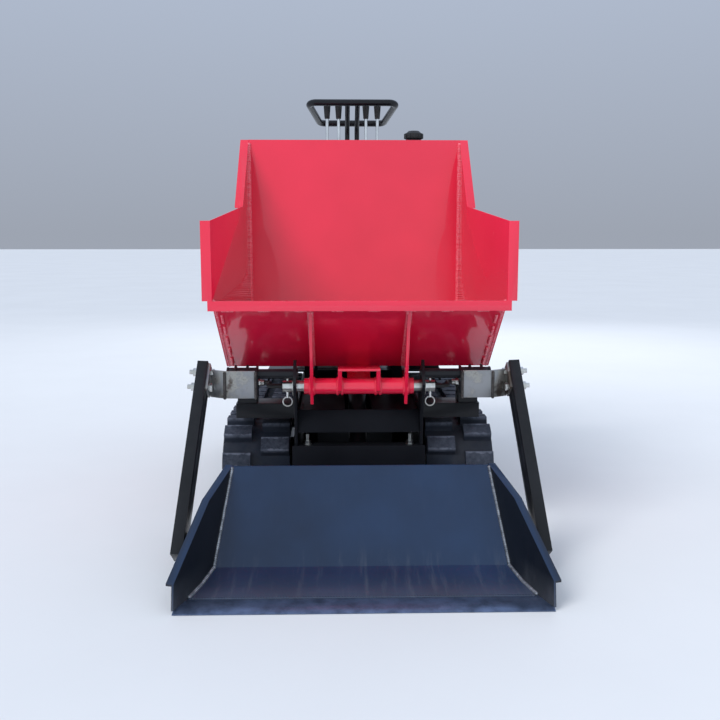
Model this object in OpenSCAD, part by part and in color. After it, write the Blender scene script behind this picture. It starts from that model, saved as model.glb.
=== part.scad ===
// Tracked power carrier with a forward-tipping skip and a self-loading shovel.
// Datum: Y runs back from the front of the tracks, Z up from the ground, X across.

/* [Tracks] */
// distance between the two belt centre lines
track_gauge = 550; // [540:2:570]
// width of one rubber belt
belt_width = 180; // [170:2:190]
// length of one belt link
link_pitch = 72; // [68:0.5:74]
// links in one belt
link_count = 31; // [30:1:33]
// teeth on a drive sprocket
sprocket_teeth = 9; // [9:1:9]
// thickness of the belt under its lugs
belt_thickness = 18; // [15:0.5:20]
// height of the ground lugs
lug_height = 22; // [16:0.5:24]
// length of a lug at its top
lug_length = 38; // [30:1:44]
// groove between the two rows of lugs
lug_groove = 27; // [20:1:34]
// height of the guide horns inside the belt
horn_height = 20; // [14:1:22]
// radius of a bottom roller
roller_radius = 38; // [34:0.5:40]
// bottom rollers on each side
roller_count = 3; // [3:1:3]

/* [Skip] */
// thickness of the skip sheet
skip_sheet = 3; // [2:0.5:4]
// height of the skip floor
floor_z = 432; // [428:1:440]
// front edge of the floor
floor_front_y = 50; // [40:2:70]
// inside face of the rear wall
rear_wall_y = 550; // [520:2:552]
// top of the rear wall
rear_wall_top = 1070; // [1000:5:1090]
// height of the pouring lip
lip_z = 620; // [600:2:640]
// front face of the lip bar
lip_y = -176; // [-186:1:-166]
// inside half width at the lip
lip_half_width = 354; // [340:1:355]
// inside half width at the rear wall
rear_half_width = 332; // [320:1:345]
// top of the side walls at the front
side_front_top = 810; // [780:2:840]
// top of the side walls where the rear rise starts
side_knee_z = 860; // [840:2:900]
// where the rear rise starts
side_knee_y = 400; // [360:5:440]
// tipping angle of the skip
tip_angle = 70; // [50:1:72]

/* [Skip hinge] */
// hinge axis along the machine
hinge_y = -40; // [-44:0.5:-36]
// hinge axis above the ground
hinge_z = 390; // [386:0.5:394]
// hinge pin diameter
hinge_pin_d = 30; // [24:0.5:31]
// hinge tube outside diameter
hinge_tube_d = 42; // [38:0.5:44]
// half length of the hinge tube
hinge_tube_half = 141; // [120:1:150]
// gusset plate position
gusset_x = 121; // [100:1:128]
// gusset plate thickness
gusset_plate = 8; // [5:0.5:10]

/* [Tipping ram] */
// distance of both ram pins from the skip hinge
ram_radius = 270; // [262:1:280]
// angle between the two ram pins at rest
ram_angle = 75; // [72:0.5:78]
// barrel diameter
ram_barrel_d = 50; // [44:1:54]
// rod diameter
ram_rod_d = 25; // [20:1:28]
// ram pin diameter
ram_pin_d = 20; // [16:0.5:22]

/* [Loader] */
// lift axis along the machine
lift_y = -55; // [-58:0.5:-52]
// lift axis above the ground
lift_z = 425; // [422:0.5:428]
// stub axle diameter
stub_d = 25; // [22:0.5:26]
// end of the stub axles
stub_end = 337; // [332:1:342]
// crank pin distance from the lift axis
crank_radius = 50; // [48:0.5:51]
// lift angle
lift_angle = 103; // [90:1:104]
// middle of a lift ram across the machine
lift_ram_x = 300; // [298:0.5:302]
// inside face of an arm at its top
arm_x = 383; // [382:0.5:386]
// depth of an arm
arm_depth = 60; // [50:1:64]
// width of an arm
arm_width = 27; // [24:1:30]
// outward splay of the arms
arm_splay = 3; // [2:0.25:4]
// thickness of the bracket plate
bracket_plate = 6; // [5:0.5:7]

/* [Shovel] */
// thickness of the shovel sheet
shovel_sheet = 5; // [4:0.5:6]
// top of the back plate
back_top_z = 235; // [220:1:245]
// back plate top along the machine
back_top_y = -250; // [-256:1:-244]
// bend of the back plate along the machine
back_bend_y = -358; // [-364:1:-352]
// height of the bend
back_bend_z = 28; // [24:1:34]
// half width at the bend
bend_half_width = 338; // [330:1:342]
// outward flare of the sides
side_flare = 17; // [14:0.5:18]
// front of the cutting edge
blade_y = -550; // [-556:1:-540]
// length of the cutting edge plate
blade_length = 66; // [50:1:74]
// thickness of the cutting edge plate
blade_plate = 8; // [6:0.5:10]
// width of the folded edge strip
edge_strip = 18; // [12:1:20]

/* [Chassis] */
// inside half width between the side plates
chassis_half = 160; // [158:0.5:162]
// side plate thickness
side_plate_t = 8; // [6:0.5:9]
// top of the side plates
chassis_top = 330; // [322:1:336]
// bottom of the chassis
chassis_bottom = 95; // [90:1:98]
// rear end of the chassis
chassis_rear_y = 1000; // [990:2:1030]

/* [Controls] */
// handle tube diameter
handle_d = 23; // [20:0.5:26]
// width of the front bar
handle_front_width = 312; // [290:2:330]
// width of the rear bar
handle_rear_width = 235; // [215:2:250]
// front bar along the machine
handle_front_y = 900; // [890:1:910]
// rear bar along the machine
handle_rear_y = 1100; // [1090:1:1120]
// height of the front bar
handle_front_z = 1233; // [1220:1:1245]
// height of the rear bar
handle_rear_z = 1186; // [1170:1:1200]
// lever rod diameter
lever_d = 11; // [9:0.5:12]
// top of the console column
console_top = 960; // [940:2:970]
// front of the console at the deck
console_front_y = 920; // [914:1:926]
// depth of the console at the deck
console_depth = 92; // [86:1:96]
// width of the console
console_width = 240; // [230:2:260]
// swing of a lever each way
lever_swing = 10; // [6:1:11]

/* [Fits] */
// radial clearance of a running fit
running = 0.05; // [0.02:0.01:0.08]
// gap between moving faces
gap = 0.4; // [0.3:0.1:0.6]

/* [Hidden] */
$fn = 64;
pitch_r = sprocket_teeth * link_pitch / (2 * PI);
belt_in = pitch_r - 8;
belt_out = belt_in + belt_thickness;
track_r = belt_out + lug_height;
wheel_base = (link_count - sprocket_teeth) * link_pitch / 2;
idler_y = track_r;
sprocket_y = track_r + wheel_base;
track_x = track_gauge / 2;
tooth_groove = 10;
lug_inset = 2;
horn_near = 23;
horn_far = 35;
rim_near = horn_far + 3;
rim_far = 58;
frame_in = rim_far + 6;
frame_out = frame_in + side_plate_t;
roller_z = track_r - belt_in + gap + roller_radius;
roller_axle_d = 20;
idler_axle_d = 30;
motor_shaft_d = 30;
motor_r = 55;
lip_bar = 12;
pan_y = lip_y + lip_bar;
chute_angle = atan2(lip_z - 2 - floor_z, floor_front_y - pan_y);
flare_slope = (lip_half_width - rear_half_width) / (rear_wall_y - lip_y);
flare_angle = atan(flare_slope);
flange_front = 21;
flange_top = 25;
ram_tilt = asin((floor_z - skip_sheet - 26 - hinge_z) / ram_radius);
rod_pin = [hinge_y + ram_radius * cos(ram_tilt), hinge_z + ram_radius * sin(ram_tilt)];
barrel_pin = [hinge_y + ram_radius * cos(ram_tilt - ram_angle),
              hinge_z + ram_radius * sin(ram_tilt - ram_angle)];
ram_closed = 2 * ram_radius * sin(ram_angle / 2);
ram_slope = atan2(rod_pin[1] - barrel_pin[1], rod_pin[0] - barrel_pin[0]);
crank_start = lift_angle / 2;
crank_pin_d = 14;
crank_pin = [lift_y + crank_radius * sin(crank_start), lift_z - crank_radius * cos(crank_start)];
crank_drop = crank_radius * (1 - cos(crank_start));
lift_rod_z = lift_z - crank_radius + crank_drop / 2;
lift_stroke = 2 * crank_radius * sin(crank_start);
hub_d = stub_d + 8;
slot_half = crank_pin_d / 2 + 2.8;
slot_reach = crank_drop / 2 + crank_pin_d / 2 + 1;
lift_barrel_y = 22;
lift_barrel_len = lift_stroke + 68;
arm_top = [-38, 442];
arm_foot = [-337, 42];
arm_angle = atan2(arm_foot[1] - arm_top[1], arm_foot[0] - arm_top[0]);
arm_length = norm(arm_foot - arm_top);
floor_break_y = back_bend_y - 62;
blade_rear_y = blade_y + blade_length;
front_end = blade_y;
rear_end = handle_rear_y + handle_d / 2;
mid_y = (front_end + rear_end) / 2;
deck_z = chassis_top;
deck_t = 6;
deck_top = deck_z + deck_t;
lever_xs = [-90, -49, 49, 90];
lever_y = console_front_y + 50;
lever_z = console_top + 56;
lever_boss = 14;
lever_pin_d = 8;
console_sheet = 4;
console_rear_y = console_front_y + console_depth;
console_lean = 12;
console_rake = 22;
valve_h = 38;
post_y = console_rear_y + 4;
post_drop = 81;
post_x = 17.5;
weld_lap = 0.5;
grip_z = lever_z + 170;
crank_shaft = [690, deck_top + 108];
cylinder_lean = 25;
foot_ys = [640, 790];
foot_xs = [-178, 8];
foot_t = 14;
muffler_z = deck_top + 262;
tank_cap = [193, 632];
tank_top = 1072;
lift_barrel_d = 40;
lift_rod_d = 18;
bolt_ys = [18, 60];
bolt_d = 12;

module placed() {
    translate([0, -mid_y, 0]) children();
}

module sided(side) {
    if (side > 0) children();
    else mirror([1, 0, 0]) children();
}

// a YZ outline carried along X
module across(x, width) {
    translate([x, 0, 0]) rotate([90, 0, 90]) linear_extrude(width) children();
}

// a round bar along X
module bar_x(x, y, z, d, length) {
    translate([x, y, z]) rotate([0, 90, 0]) cylinder(d = d, h = length);
}

module box(x, y, z, size) {
    translate([x, y, z]) cube(size);
}

// a tube in the XY plane through corner points; each bend is a touch thicker than the runs it laps
module bent_tube(points, d, bend, closed = false) {
    n = len(points);
    last = closed ? n - 1 : n - 2;
    for (i = [0 : last]) {
        a = points[(i + n - 1) % n];
        b = points[i];
        c = points[(i + 1) % n];
        e = points[(i + 2) % n];
        run = c - b;
        heading = atan2(run[1], run[0]);
        starts_bent = closed || i > 0;
        ends_bent = closed || i < n - 2;
        cut_start = starts_bent ? bend_cut(a, b, c, bend) : 0;
        cut_end = ends_bent ? bend_cut(b, c, e, bend) : 0;
        lap_start = starts_bent ? weld_lap : 0;
        lap_end = ends_bent ? weld_lap : 0;
        translate(b) rotate([0, 0, heading]) translate([cut_start - lap_start, 0, 0]) rotate([0, 90, 0])
            cylinder(d = d, h = norm(run) - cut_start - cut_end + lap_start + lap_end);
        if (ends_bent) {
            turn = turn_of(b, c, e);
            way = sign(turn);
            start = turn > 0 ? heading - 90 : heading + 90 + turn;
            translate(c) rotate([0, 0, heading]) translate([-cut_end, way * bend, 0])
                rotate([0, 0, start - heading])
                    rotate_extrude(angle = abs(turn)) translate([bend, 0]) circle(d = d + 0.2);
        }
    }
}

function wrap(angle) = angle > 180 ? angle - 360 : (angle < -180 ? angle + 360 : angle);
function turn_of(a, b, c) = wrap(atan2(c[1] - b[1], c[0] - b[0]) - atan2(b[1] - a[1], b[0] - a[0]));
function bend_cut(a, b, c, bend) = bend * tan(abs(turn_of(a, b, c)) / 2);

// the outline of a belt at one radius, centred on a track's middle plane
module racetrack(r, width) {
    bar_x(-width / 2, idler_y, track_r, 2 * r, width);
    bar_x(-width / 2, sprocket_y, track_r, 2 * r, width);
    box(-width / 2, idler_y, track_r - r, [width, wheel_base, 2 * r]);
}

// children drawn along +Z at their radius, carried to a distance along the belt
module on_belt(s) {
    arc = PI * pitch_r;
    rear = s - wheel_base;
    under = rear - arc;
    front = under - wheel_base;
    if (rear < 0)
        translate([0, idler_y + s, track_r]) children();
    else if (under < 0)
        translate([0, sprocket_y, track_r]) rotate([-rear / arc * 180, 0, 0]) children();
    else if (front < 0)
        translate([0, sprocket_y - under, track_r]) rotate([180, 0, 0]) children();
    else
        translate([0, idler_y, track_r]) rotate([180 - front / arc * 180, 0, 0]) children();
}

module lug_row(x, width, phase) {
    half = lug_length / 2;
    root = belt_out - belt_thickness / 2;
    for (k = [0 : link_count - 1])
        on_belt((k + phase) * link_pitch)
            across(x, width)
                polygon([[-half - 6, root], [half + 6, root], [half + 5, belt_out + 6],
                         [half, track_r + 4], [-half, track_r + 4], [-half - 5, belt_out + 6]]);
}

module horn_row(x) {
    for (k = [0 : link_count - 1])
        on_belt((k + 0.5) * link_pitch)
            across(x, horn_far - horn_near)
                polygon([[-16, belt_in + 3], [16, belt_in + 3], [9, belt_in - horn_height],
                         [-9, belt_in - horn_height]]);
}

module belt() {
    row = (belt_width - lug_groove) / 2;
    difference() {
        union() {
            racetrack(belt_out, belt_width);
            intersection() {
                union() {
                    lug_row(-belt_width / 2 + lug_inset, row - lug_inset, 0.25);
                    lug_row(belt_width / 2 - row, row - lug_inset, 0.75);
                }
                racetrack(track_r, belt_width + 2);
            }
        }
        racetrack(belt_in, belt_width + 2);
        racetrack(belt_in + tooth_groove, 2 * horn_near - 10);
    }
    horn_row(horn_near);
    horn_row(-horn_far);
}

module track_belt_left() {
    color("dimgray") placed() translate([-track_x, 0, 0]) belt();
}

module track_belt_right() {
    color("dimgray") placed() translate([track_x, 0, 0]) mirror([1, 0, 0]) belt();
}

// a wheel turned about X from a half outline of [distance across, radius]
module turned(outline) {
    rotate([0, 90, 0]) rotate_extrude() polygon([for (p = outline) [p[1], p[0]]]);
}

module sprocket() {
    rim = belt_in - gap;
    root = belt_in - 14;
    tooth = belt_in + tooth_groove - 1;
    waist = belt_in - horn_height - 6;
    difference() {
        union() {
            turned([[-rim_far, 0], [-rim_far, rim], [-rim_near, rim], [-rim_near, waist], [-14, waist],
                    [-14, root], [14, root], [14, waist], [rim_near, waist], [rim_near, rim],
                    [rim_far, rim], [rim_far, rim - 14], [rim_far - 14, rim - 22],
                    [rim_far - 14, 34], [rim_far, 30], [rim_far, 0]]);
            for (k = [0 : sprocket_teeth - 1])
                rotate([k * 360 / sprocket_teeth, 0, 0])
                    across(-12, 24)
                        polygon([[-17, root - 6], [17, root - 6], [8, tooth], [-8, tooth]]);
        }
        for (k = [0 : 5])
            rotate([k * 60, 0, 0]) bar_x(rim_far - 15, 0, 50, 16, 20);
    }
    bar_x(-track_x + chassis_half - 40, 0, 0, motor_shaft_d, track_x - chassis_half + 40 - rim_far + 2);
}

module sprocket_at(side) {
    color("slategray") placed() sided(side) translate([track_x, sprocket_y, track_r]) sprocket();
}

module sprocket_left() {
    sprocket_at(-1);
}

module sprocket_right() {
    sprocket_at(1);
}

module idler_at(side) {
    rim = belt_in - gap;
    waist = belt_in - horn_height - 6;
    bore = idler_axle_d / 2 + running;
    color("gray") placed() sided(side) translate([track_x, idler_y, track_r])
        difference() {
            turned([[-rim_far, bore], [-rim_far, 32], [-rim_far + 14, 36], [-rim_far + 14, rim - 22],
                    [-rim_far, rim - 14], [-rim_far, rim], [-rim_near, rim], [-rim_near, waist],
                    [-18, waist], [-18, rim], [18, rim], [18, waist], [rim_near, waist], [rim_near, rim],
                    [rim_far, rim], [rim_far, rim - 14], [rim_far - 14, rim - 22], [rim_far - 14, 36],
                    [rim_far, 32], [rim_far, bore]]);
            for (k = [0 : 4])
                rotate([k * 72, 0, 0]) bar_x(-rim_far, 0, 53, 22, 2 * rim_far);
        }
}

module idler_left() {
    idler_at(-1);
}

module idler_right() {
    idler_at(1);
}

function roller_y(k) = idler_y + wheel_base * k / (roller_count + 1);

module roller_at(side, k) {
    bore = roller_axle_d / 2 + running;
    color("gray") placed() sided(side) translate([track_x, roller_y(k), roller_z])
        turned([[-rim_far, bore], [-rim_far, roller_radius - 3], [-rim_far + 3, roller_radius],
                [-rim_near, roller_radius], [-rim_near, 15], [rim_near, 15], [rim_near, roller_radius],
                [rim_far - 3, roller_radius], [rim_far, roller_radius - 3], [rim_far, bore]]);
}

module roller_left_1() {
    roller_at(-1, 1);
}

module roller_left_2() {
    roller_at(-1, 2);
}

module roller_left_3() {
    roller_at(-1, 3);
}

module roller_right_1() {
    roller_at(1, 1);
}

module roller_right_2() {
    roller_at(1, 2);
}

module roller_right_3() {
    roller_at(1, 3);
}

// one cheek of a track frame: a beam with a nose at the idler and a tab at each roller
module frame_cheek(x, rear_y) {
    low = track_r - 24;
    high = track_r + 34;
    across(x, side_plate_t)
        polygon([[idler_y, high], [idler_y, low], [roller_y(1) - 40, low - 8],
                 [roller_y(3) + 40, low - 8], [rear_y, low], [rear_y, high]]);
    bar_x(x, idler_y, track_r, 64, side_plate_t);
    for (k = [1 : roller_count]) {
        across(x, side_plate_t)
            polygon([[roller_y(k) - 26, low], [roller_y(k) - 16, roller_z], [roller_y(k) + 16, roller_z],
                     [roller_y(k) + 26, low]]);
        bar_x(x, roller_y(k), roller_z, 34, side_plate_t);
    }
}

module track_frame_at(side) {
    beam_y = idler_y + belt_in + 20;
    beam_end = sprocket_y - belt_in - tooth_groove - 20;
    beam_z = roller_z + roller_radius + 4;
    lug = track_x - frame_out - chassis_half - side_plate_t;
    color("black") placed() sided(side) translate([track_x, 0, 0]) {
        difference() {
            union() {
                frame_cheek(-frame_out, sprocket_y);
                bar_x(-frame_out, sprocket_y, track_r, 2 * motor_r + 20, side_plate_t);
            }
            bar_x(-frame_out - 1, sprocket_y, track_r, motor_shaft_d + 30, side_plate_t + 2);
        }
        frame_cheek(frame_in, beam_end);
        box(-frame_in, beam_y, beam_z, [2 * frame_in, beam_end - beam_y, 36]);
        bar_x(-frame_out, idler_y, track_r, idler_axle_d, 2 * frame_out);
        for (k = [1 : roller_count])
            bar_x(-frame_out, roller_y(k), roller_z, roller_axle_d, 2 * frame_out);
        for (y = [beam_y + 60, beam_end - 120])
            box(-frame_out - lug, y, track_r - 15, [lug, 60, 40]);
    }
}

module track_frame_left() {
    track_frame_at(-1);
}

module track_frame_right() {
    track_frame_at(1);
}

module track_motor_at(side) {
    plate = track_x - frame_out;
    back = chassis_half - 78;
    color("darkslategray") placed() sided(side)
        difference() {
            union() {
                bar_x(back, sprocket_y, track_r, 2 * motor_r - 14, plate - back);
                bar_x(plate - 14, sprocket_y, track_r, 2 * motor_r + 14, 14);
                box(back - 26, sprocket_y - 30, track_r - 30, [26.5, 60, 60]);
                for (y = [-14, 14])
                    translate([back - 12, sprocket_y + y, track_r + 30]) cylinder(d = 18, h = 14);
            }
            bar_x(chassis_half - 42, sprocket_y, track_r, motor_shaft_d + 2 * running, plate);
        }
}

module track_motor_left() {
    track_motor_at(-1);
}

module track_motor_right() {
    track_motor_at(1);
}

function chute_under(y) =
    lip_z - 2 - (y - pan_y) * tan(chute_angle) - skip_sheet / cos(chute_angle);
function under_meet() =
    pan_y + (lip_z - 2 - skip_sheet / cos(chute_angle) - floor_z + skip_sheet) / tan(chute_angle);

// the folded sheet of chute, floor and rear wall
module pan_outline() {
    polygon([[pan_y, lip_z - 2], [floor_front_y, floor_z], [rear_wall_y, floor_z],
             [rear_wall_y, rear_wall_top], [rear_wall_y + skip_sheet, rear_wall_top],
             [rear_wall_y + skip_sheet, floor_z - skip_sheet], [under_meet(), floor_z - skip_sheet],
             [pan_y, chute_under(pan_y)]]);
}

// the plan between the side walls
module skip_plan() {
    rear = rear_wall_y + skip_sheet;
    rear_half = lip_half_width - flare_slope * (rear - lip_y);
    linear_extrude(2000)
        polygon([[-lip_half_width, lip_y], [lip_half_width, lip_y], [rear_half, rear], [-rear_half, rear]]);
}

// a side wall in its own plane, standing at X = 0 with its front edge at the lip
module skip_wall() {
    rear = rear_wall_y + skip_sheet;
    rise = [rear - side_knee_y, rear_wall_top - side_knee_z];
    fold = skip_sheet * norm(rise) / rise[0];
    across(0, skip_sheet)
        polygon([[pan_y, chute_under(pan_y)], [under_meet(), floor_z - skip_sheet],
                 [rear, floor_z - skip_sheet], [rear, rear_wall_top], [side_knee_y, side_knee_z],
                 [lip_y, side_front_top], [lip_y, lip_z], [pan_y, lip_z]]);
    across(0, flange_top)
        polygon([[side_knee_y, side_knee_z], [rear, rear_wall_top], [rear, rear_wall_top - fold],
                 [side_knee_y, side_knee_z - fold]]);
    across(0, flange_front + skip_sheet)
        polygon([[lip_y, lip_z], [lip_y + skip_sheet, lip_z], [lip_y + skip_sheet, side_front_top],
                 [lip_y, side_front_top]]);
}

module skip_tub() {
    color("crimson") placed() {
        intersection() {
            across(-600, 1200) pan_outline();
            skip_plan();
        }
        for (side = [-1, 1])
            sided(side)
                translate([lip_half_width, lip_y, 0]) rotate([0, 0, flare_angle]) translate([0, -lip_y, 0])
                    skip_wall();
        box(-lip_half_width - 11, lip_y, lip_z - 24, [2 * lip_half_width + 22, lip_bar, 24]);
    }
}

module gusset(x) {
    meet = under_meet() + 20;
    difference() {
        across(x, gusset_plate)
            polygon([[pan_y + 24, chute_under(pan_y + 24)], [hinge_y - 24, hinge_z + 2],
                     [hinge_y - 9, hinge_z - 46], [hinge_y + 9, hinge_z - 46],
                     [hinge_y + 26, hinge_z - 4], [meet, floor_z - skip_sheet],
                     [under_meet(), floor_z - skip_sheet]]);
        bar_x(x - 1, hinge_y, hinge_z, hinge_tube_d - 2, gusset_plate + 2);
    }
}

module hinge_frame() {
    hoop = 54;
    leg = 10;
    lug_x = 22;
    lug_half = lug_x + 8;
    strip_z = floor_z - skip_sheet - 5;
    color("firebrick") placed() {
        difference() {
            union() {
                bar_x(-hinge_tube_half, hinge_y, hinge_z, hinge_tube_d, 2 * hinge_tube_half);
                gusset(gusset_x - gusset_plate / 2);
                gusset(-gusset_x - gusset_plate / 2);
                for (x = [-hoop, hoop - leg])
                    across(x, leg)
                        polygon([[hinge_y - 36, hinge_z + 50], [hinge_y - 27, hinge_z - 8],
                                 [hinge_y - 18, hinge_z - 12], [hinge_y + 6, hinge_z + 16],
                                 [hinge_y + 22, hinge_z + 44], [hinge_y + 22, hinge_z + 50]]);
                box(-hoop, hinge_y - 36, hinge_z + 44, [2 * hoop, 58, 6]);
                across(-lug_half, 2 * lug_half)
                    polygon([[hinge_y + 13, hinge_z - 4], [hinge_y + 18, hinge_z + 8],
                             [hinge_y + 58, strip_z], [hinge_y + 58, strip_z + 5],
                             [hinge_y + 48, strip_z + 5], [hinge_y + 8, hinge_z + 14]]);
            }
            bar_x(-hinge_tube_half - 1, hinge_y, hinge_z, hinge_pin_d + 2 * running,
                  2 * hinge_tube_half + 2);
        }
        for (x = [-lug_half, lug_x])
            across(x, 8)
                polygon([[rod_pin[0] - 46, floor_z - skip_sheet], [rod_pin[0] - 17, rod_pin[1] - 14],
                         [rod_pin[0] - 8, rod_pin[1] - 20], [rod_pin[0] + 8, rod_pin[1] - 20],
                         [rod_pin[0] + 17, rod_pin[1] - 14], [rod_pin[0] + 46, floor_z - skip_sheet]]);
        bar_x(-lug_x - 12, rod_pin[0], rod_pin[1], ram_pin_d, 2 * lug_x + 24);
        box(-lug_half, hinge_y + 50, strip_z, [2 * lug_half, rod_pin[0] - hinge_y - 64, 5]);
    }
}

// children drawn along +Y from the barrel pin towards the rod pin
module along_ram() {
    translate([0, barrel_pin[0], barrel_pin[1]]) rotate([ram_slope, 0, 0]) children();
}

module round_y(y, d, length) {
    translate([0, y, 0]) rotate([-90, 0, 0]) cylinder(d = d, h = length);
}

module tip_ram_barrel() {
    mouth = ram_closed - 30;
    gland = 24;
    color("black") placed() along_ram()
        difference() {
            union() {
                bar_x(-20, 0, 0, 44, 40);
                round_y(12, ram_barrel_d - 8, 20);
                round_y(26, ram_barrel_d, mouth - 26);
                round_y(mouth - gland, ram_barrel_d + 6, gland);
                translate([0, 52, 0]) cylinder(d = 16, h = ram_barrel_d / 2 + 12);
                translate([0, mouth - 40, 0]) cylinder(d = 16, h = ram_barrel_d / 2 + 12);
            }
            bar_x(-21, 0, 0, ram_pin_d + 2 * running, 42);
            round_y(40, ram_barrel_d - 10, mouth - gland - 40);
            round_y(40, ram_rod_d + 2 * running, mouth);
        }
}

module tip_ram_rod() {
    color("silver") placed() along_ram()
        difference() {
            union() {
                round_y(44, ram_barrel_d - 10 - 2 * running, 22);
                round_y(44, ram_rod_d, ram_closed - 54);
                bar_x(-18, ram_closed, 0, 40, 36);
            }
            bar_x(-19, ram_closed, 0, ram_pin_d + 2 * running, 38);
        }
}

module hinge_pin() {
    reach = chassis_half + side_plate_t + 28;
    washer = chassis_half + side_plate_t;
    color("gainsboro") placed() {
        bar_x(-reach, hinge_y, hinge_z, hinge_pin_d, 2 * reach);
        for (side = [-1, 1])
            sided(side) {
                bar_x(washer, hinge_y, hinge_z, hinge_pin_d + 18, 3);
                translate([washer + 16, hinge_y, hinge_z - 30]) cylinder(d = 7, h = 50);
                translate([washer + 16, hinge_y, hinge_z - 40])
                    rotate([90, 0, 0]) rotate_extrude() translate([12, 0]) circle(d = 4);
            }
    }
}

// the plate outline, with an ear that carries the skip hinge and the stub axle
module side_outline() {
    polygon([[-29, 128], [4, chassis_bottom], [chassis_rear_y, chassis_bottom],
             [chassis_rear_y, chassis_top], [42, chassis_top], [16, hinge_z - 15], [lift_y + 5, lift_z + 35],
             [lift_y - 36, lift_z - 24], [hinge_y - 32, hinge_z - 22], [-29, hinge_z - 84]]);
}

// a beam over the belt with a saddle for the lift ram
module outrigger() {
    root = chassis_half + side_plate_t;
    end = lift_ram_x + 30;
    beam_z = 2 * track_r + 14;
    clamp = 26;
    box(root, 66, beam_z, [end - root, 76, 40]);
    difference() {
        box(lift_ram_x - clamp, 72, beam_z + 38, [2 * clamp, 64, lift_rod_z + 22 - beam_z - 38]);
        translate([lift_ram_x, 0, lift_rod_z]) round_y(60, lift_barrel_d, 90);
    }
}

module side_plate_at(side) {
    color("black") placed() sided(side) {
        difference() {
            across(chassis_half, side_plate_t) side_outline();
            bar_x(chassis_half - 1, hinge_y, hinge_z, hinge_pin_d + 2 * running, side_plate_t + 2);
            bar_x(chassis_half - 1, sprocket_y, track_r, 2 * motor_r - 10, side_plate_t + 2);
            box(chassis_half - 1, sprocket_y - motor_r + 5, chassis_bottom - 1,
                [side_plate_t + 2, 2 * motor_r - 10, track_r - chassis_bottom + 1]);
            for (y = [260, 420, 580])
                bar_x(chassis_half - 1, y, 250, 90, side_plate_t + 2);
        }
        bar_x(chassis_half - 4, lift_y, lift_z, stub_d, stub_end - chassis_half + 4);
        bar_x(stub_end - 5, lift_y, lift_z, stub_d + 10, 5);
        outrigger();
    }
}

module side_plate_left() {
    side_plate_at(-1);
}

module side_plate_right() {
    side_plate_at(1);
}

// the sloped front panel, and behind it a cover with a slot that the tipping ram swings in
module front_panel() {
    slot = ram_barrel_d + 22;
    color("black") placed()
        difference() {
            union() {
                across(-chassis_half, 2 * chassis_half)
                    polygon([[-3, 320], [9, 320], [9, 314], [3, 314], [-19, 264], [-26, 264]]);
                box(-chassis_half, 8, 314, [2 * chassis_half, rear_wall_y - 88, 6]);
            }
            box(-slot / 2, 6, 310, [slot, 230, 20]);
        }
}

module front_channel() {
    wide = chassis_half + side_plate_t + 6;
    color("black") placed() {
        across(-wide, 2 * wide)
            polygon([[-35, chassis_bottom], [-29, chassis_bottom], [-29, 230], [-35, 230]]);
        box(-chassis_half, -29.5, 224, [2 * chassis_half, 37.5, 6]);
    }
}

module front_studs() {
    color("silver") placed()
        for (x = [-135, 135]) {
            translate([x, -11, 230]) cylinder(d = 10, h = 27);
            translate([x, -11, 230]) cylinder(d = 22, h = 2);
            translate([x, -11, 232]) cylinder(d = 19.6, h = 8, $fn = 6);
        }
}

module belly_plate() {
    lug_x = 23;
    rest_y = rear_wall_y - 70;
    color("black") placed() {
        box(-chassis_half, -29, chassis_bottom, [2 * chassis_half, sprocket_y - motor_r + 19, 6]);
        for (x = [-lug_x - 8, lug_x])
            across(x, 8)
                polygon([[barrel_pin[0] - 40, chassis_bottom + 3], [barrel_pin[0] - 19, barrel_pin[1] + 14],
                         [barrel_pin[0] - 8, barrel_pin[1] + 22], [barrel_pin[0] + 8, barrel_pin[1] + 22],
                         [barrel_pin[0] + 19, barrel_pin[1] + 14],
                         [barrel_pin[0] + 40, chassis_bottom + 3]]);
        bar_x(-lug_x - 14, barrel_pin[0], barrel_pin[1], ram_pin_d, 2 * lug_x + 28);
        for (x = [-chassis_half, chassis_half - 40])
            box(x, rest_y, chassis_bottom, [40, 40, floor_z - skip_sheet - gap - chassis_bottom]);
    }
}

module lift_barrel_at(side) {
    bore = lift_barrel_d - 8;
    gland = 18;
    color("black") placed() sided(side) translate([lift_ram_x, lift_barrel_y, lift_rod_z])
        difference() {
            union() {
                round_y(0, lift_barrel_d, lift_barrel_len);
                round_y(0, lift_barrel_d + 5, gland);
                for (y = [30, lift_barrel_len - 16])
                    translate([-lift_barrel_d / 2 - 9, y, 0]) rotate([0, 90, 0]) cylinder(d = 14, h = 12);
            }
            round_y(gland, bore, lift_barrel_len - gland - 12);
            round_y(-1, lift_rod_d + 2 * running, gland + 2);
        }
}

module lift_barrel_left() {
    lift_barrel_at(-1);
}

module lift_barrel_right() {
    lift_barrel_at(1);
}

// the slotted eye lets the crank pin rise and fall as it swings
module lift_rod_at(side) {
    wall = 8;
    eye = 18;
    half = slot_half + wall;
    height = slot_reach + 5;
    head = crank_pin[0] + half;
    tail = lift_barrel_y + lift_barrel_len - 36;
    color("silver") placed() sided(side) translate([lift_ram_x, 0, lift_rod_z]) {
        difference() {
            translate([-eye / 2, crank_pin[0] - half, -height]) cube([eye, 2 * half, 2 * height]);
            translate([-eye / 2 - 1, crank_pin[0] - slot_half, -slot_reach])
                cube([eye + 2, 2 * slot_half, 2 * slot_reach]);
        }
        round_y(head - 2, lift_rod_d, tail - head + 4);
        round_y(tail, lift_barrel_d - 8 - 2 * running, 20);
    }
}

module lift_rod_left() {
    lift_rod_at(-1);
}

module lift_rod_right() {
    lift_rod_at(1);
}

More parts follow.
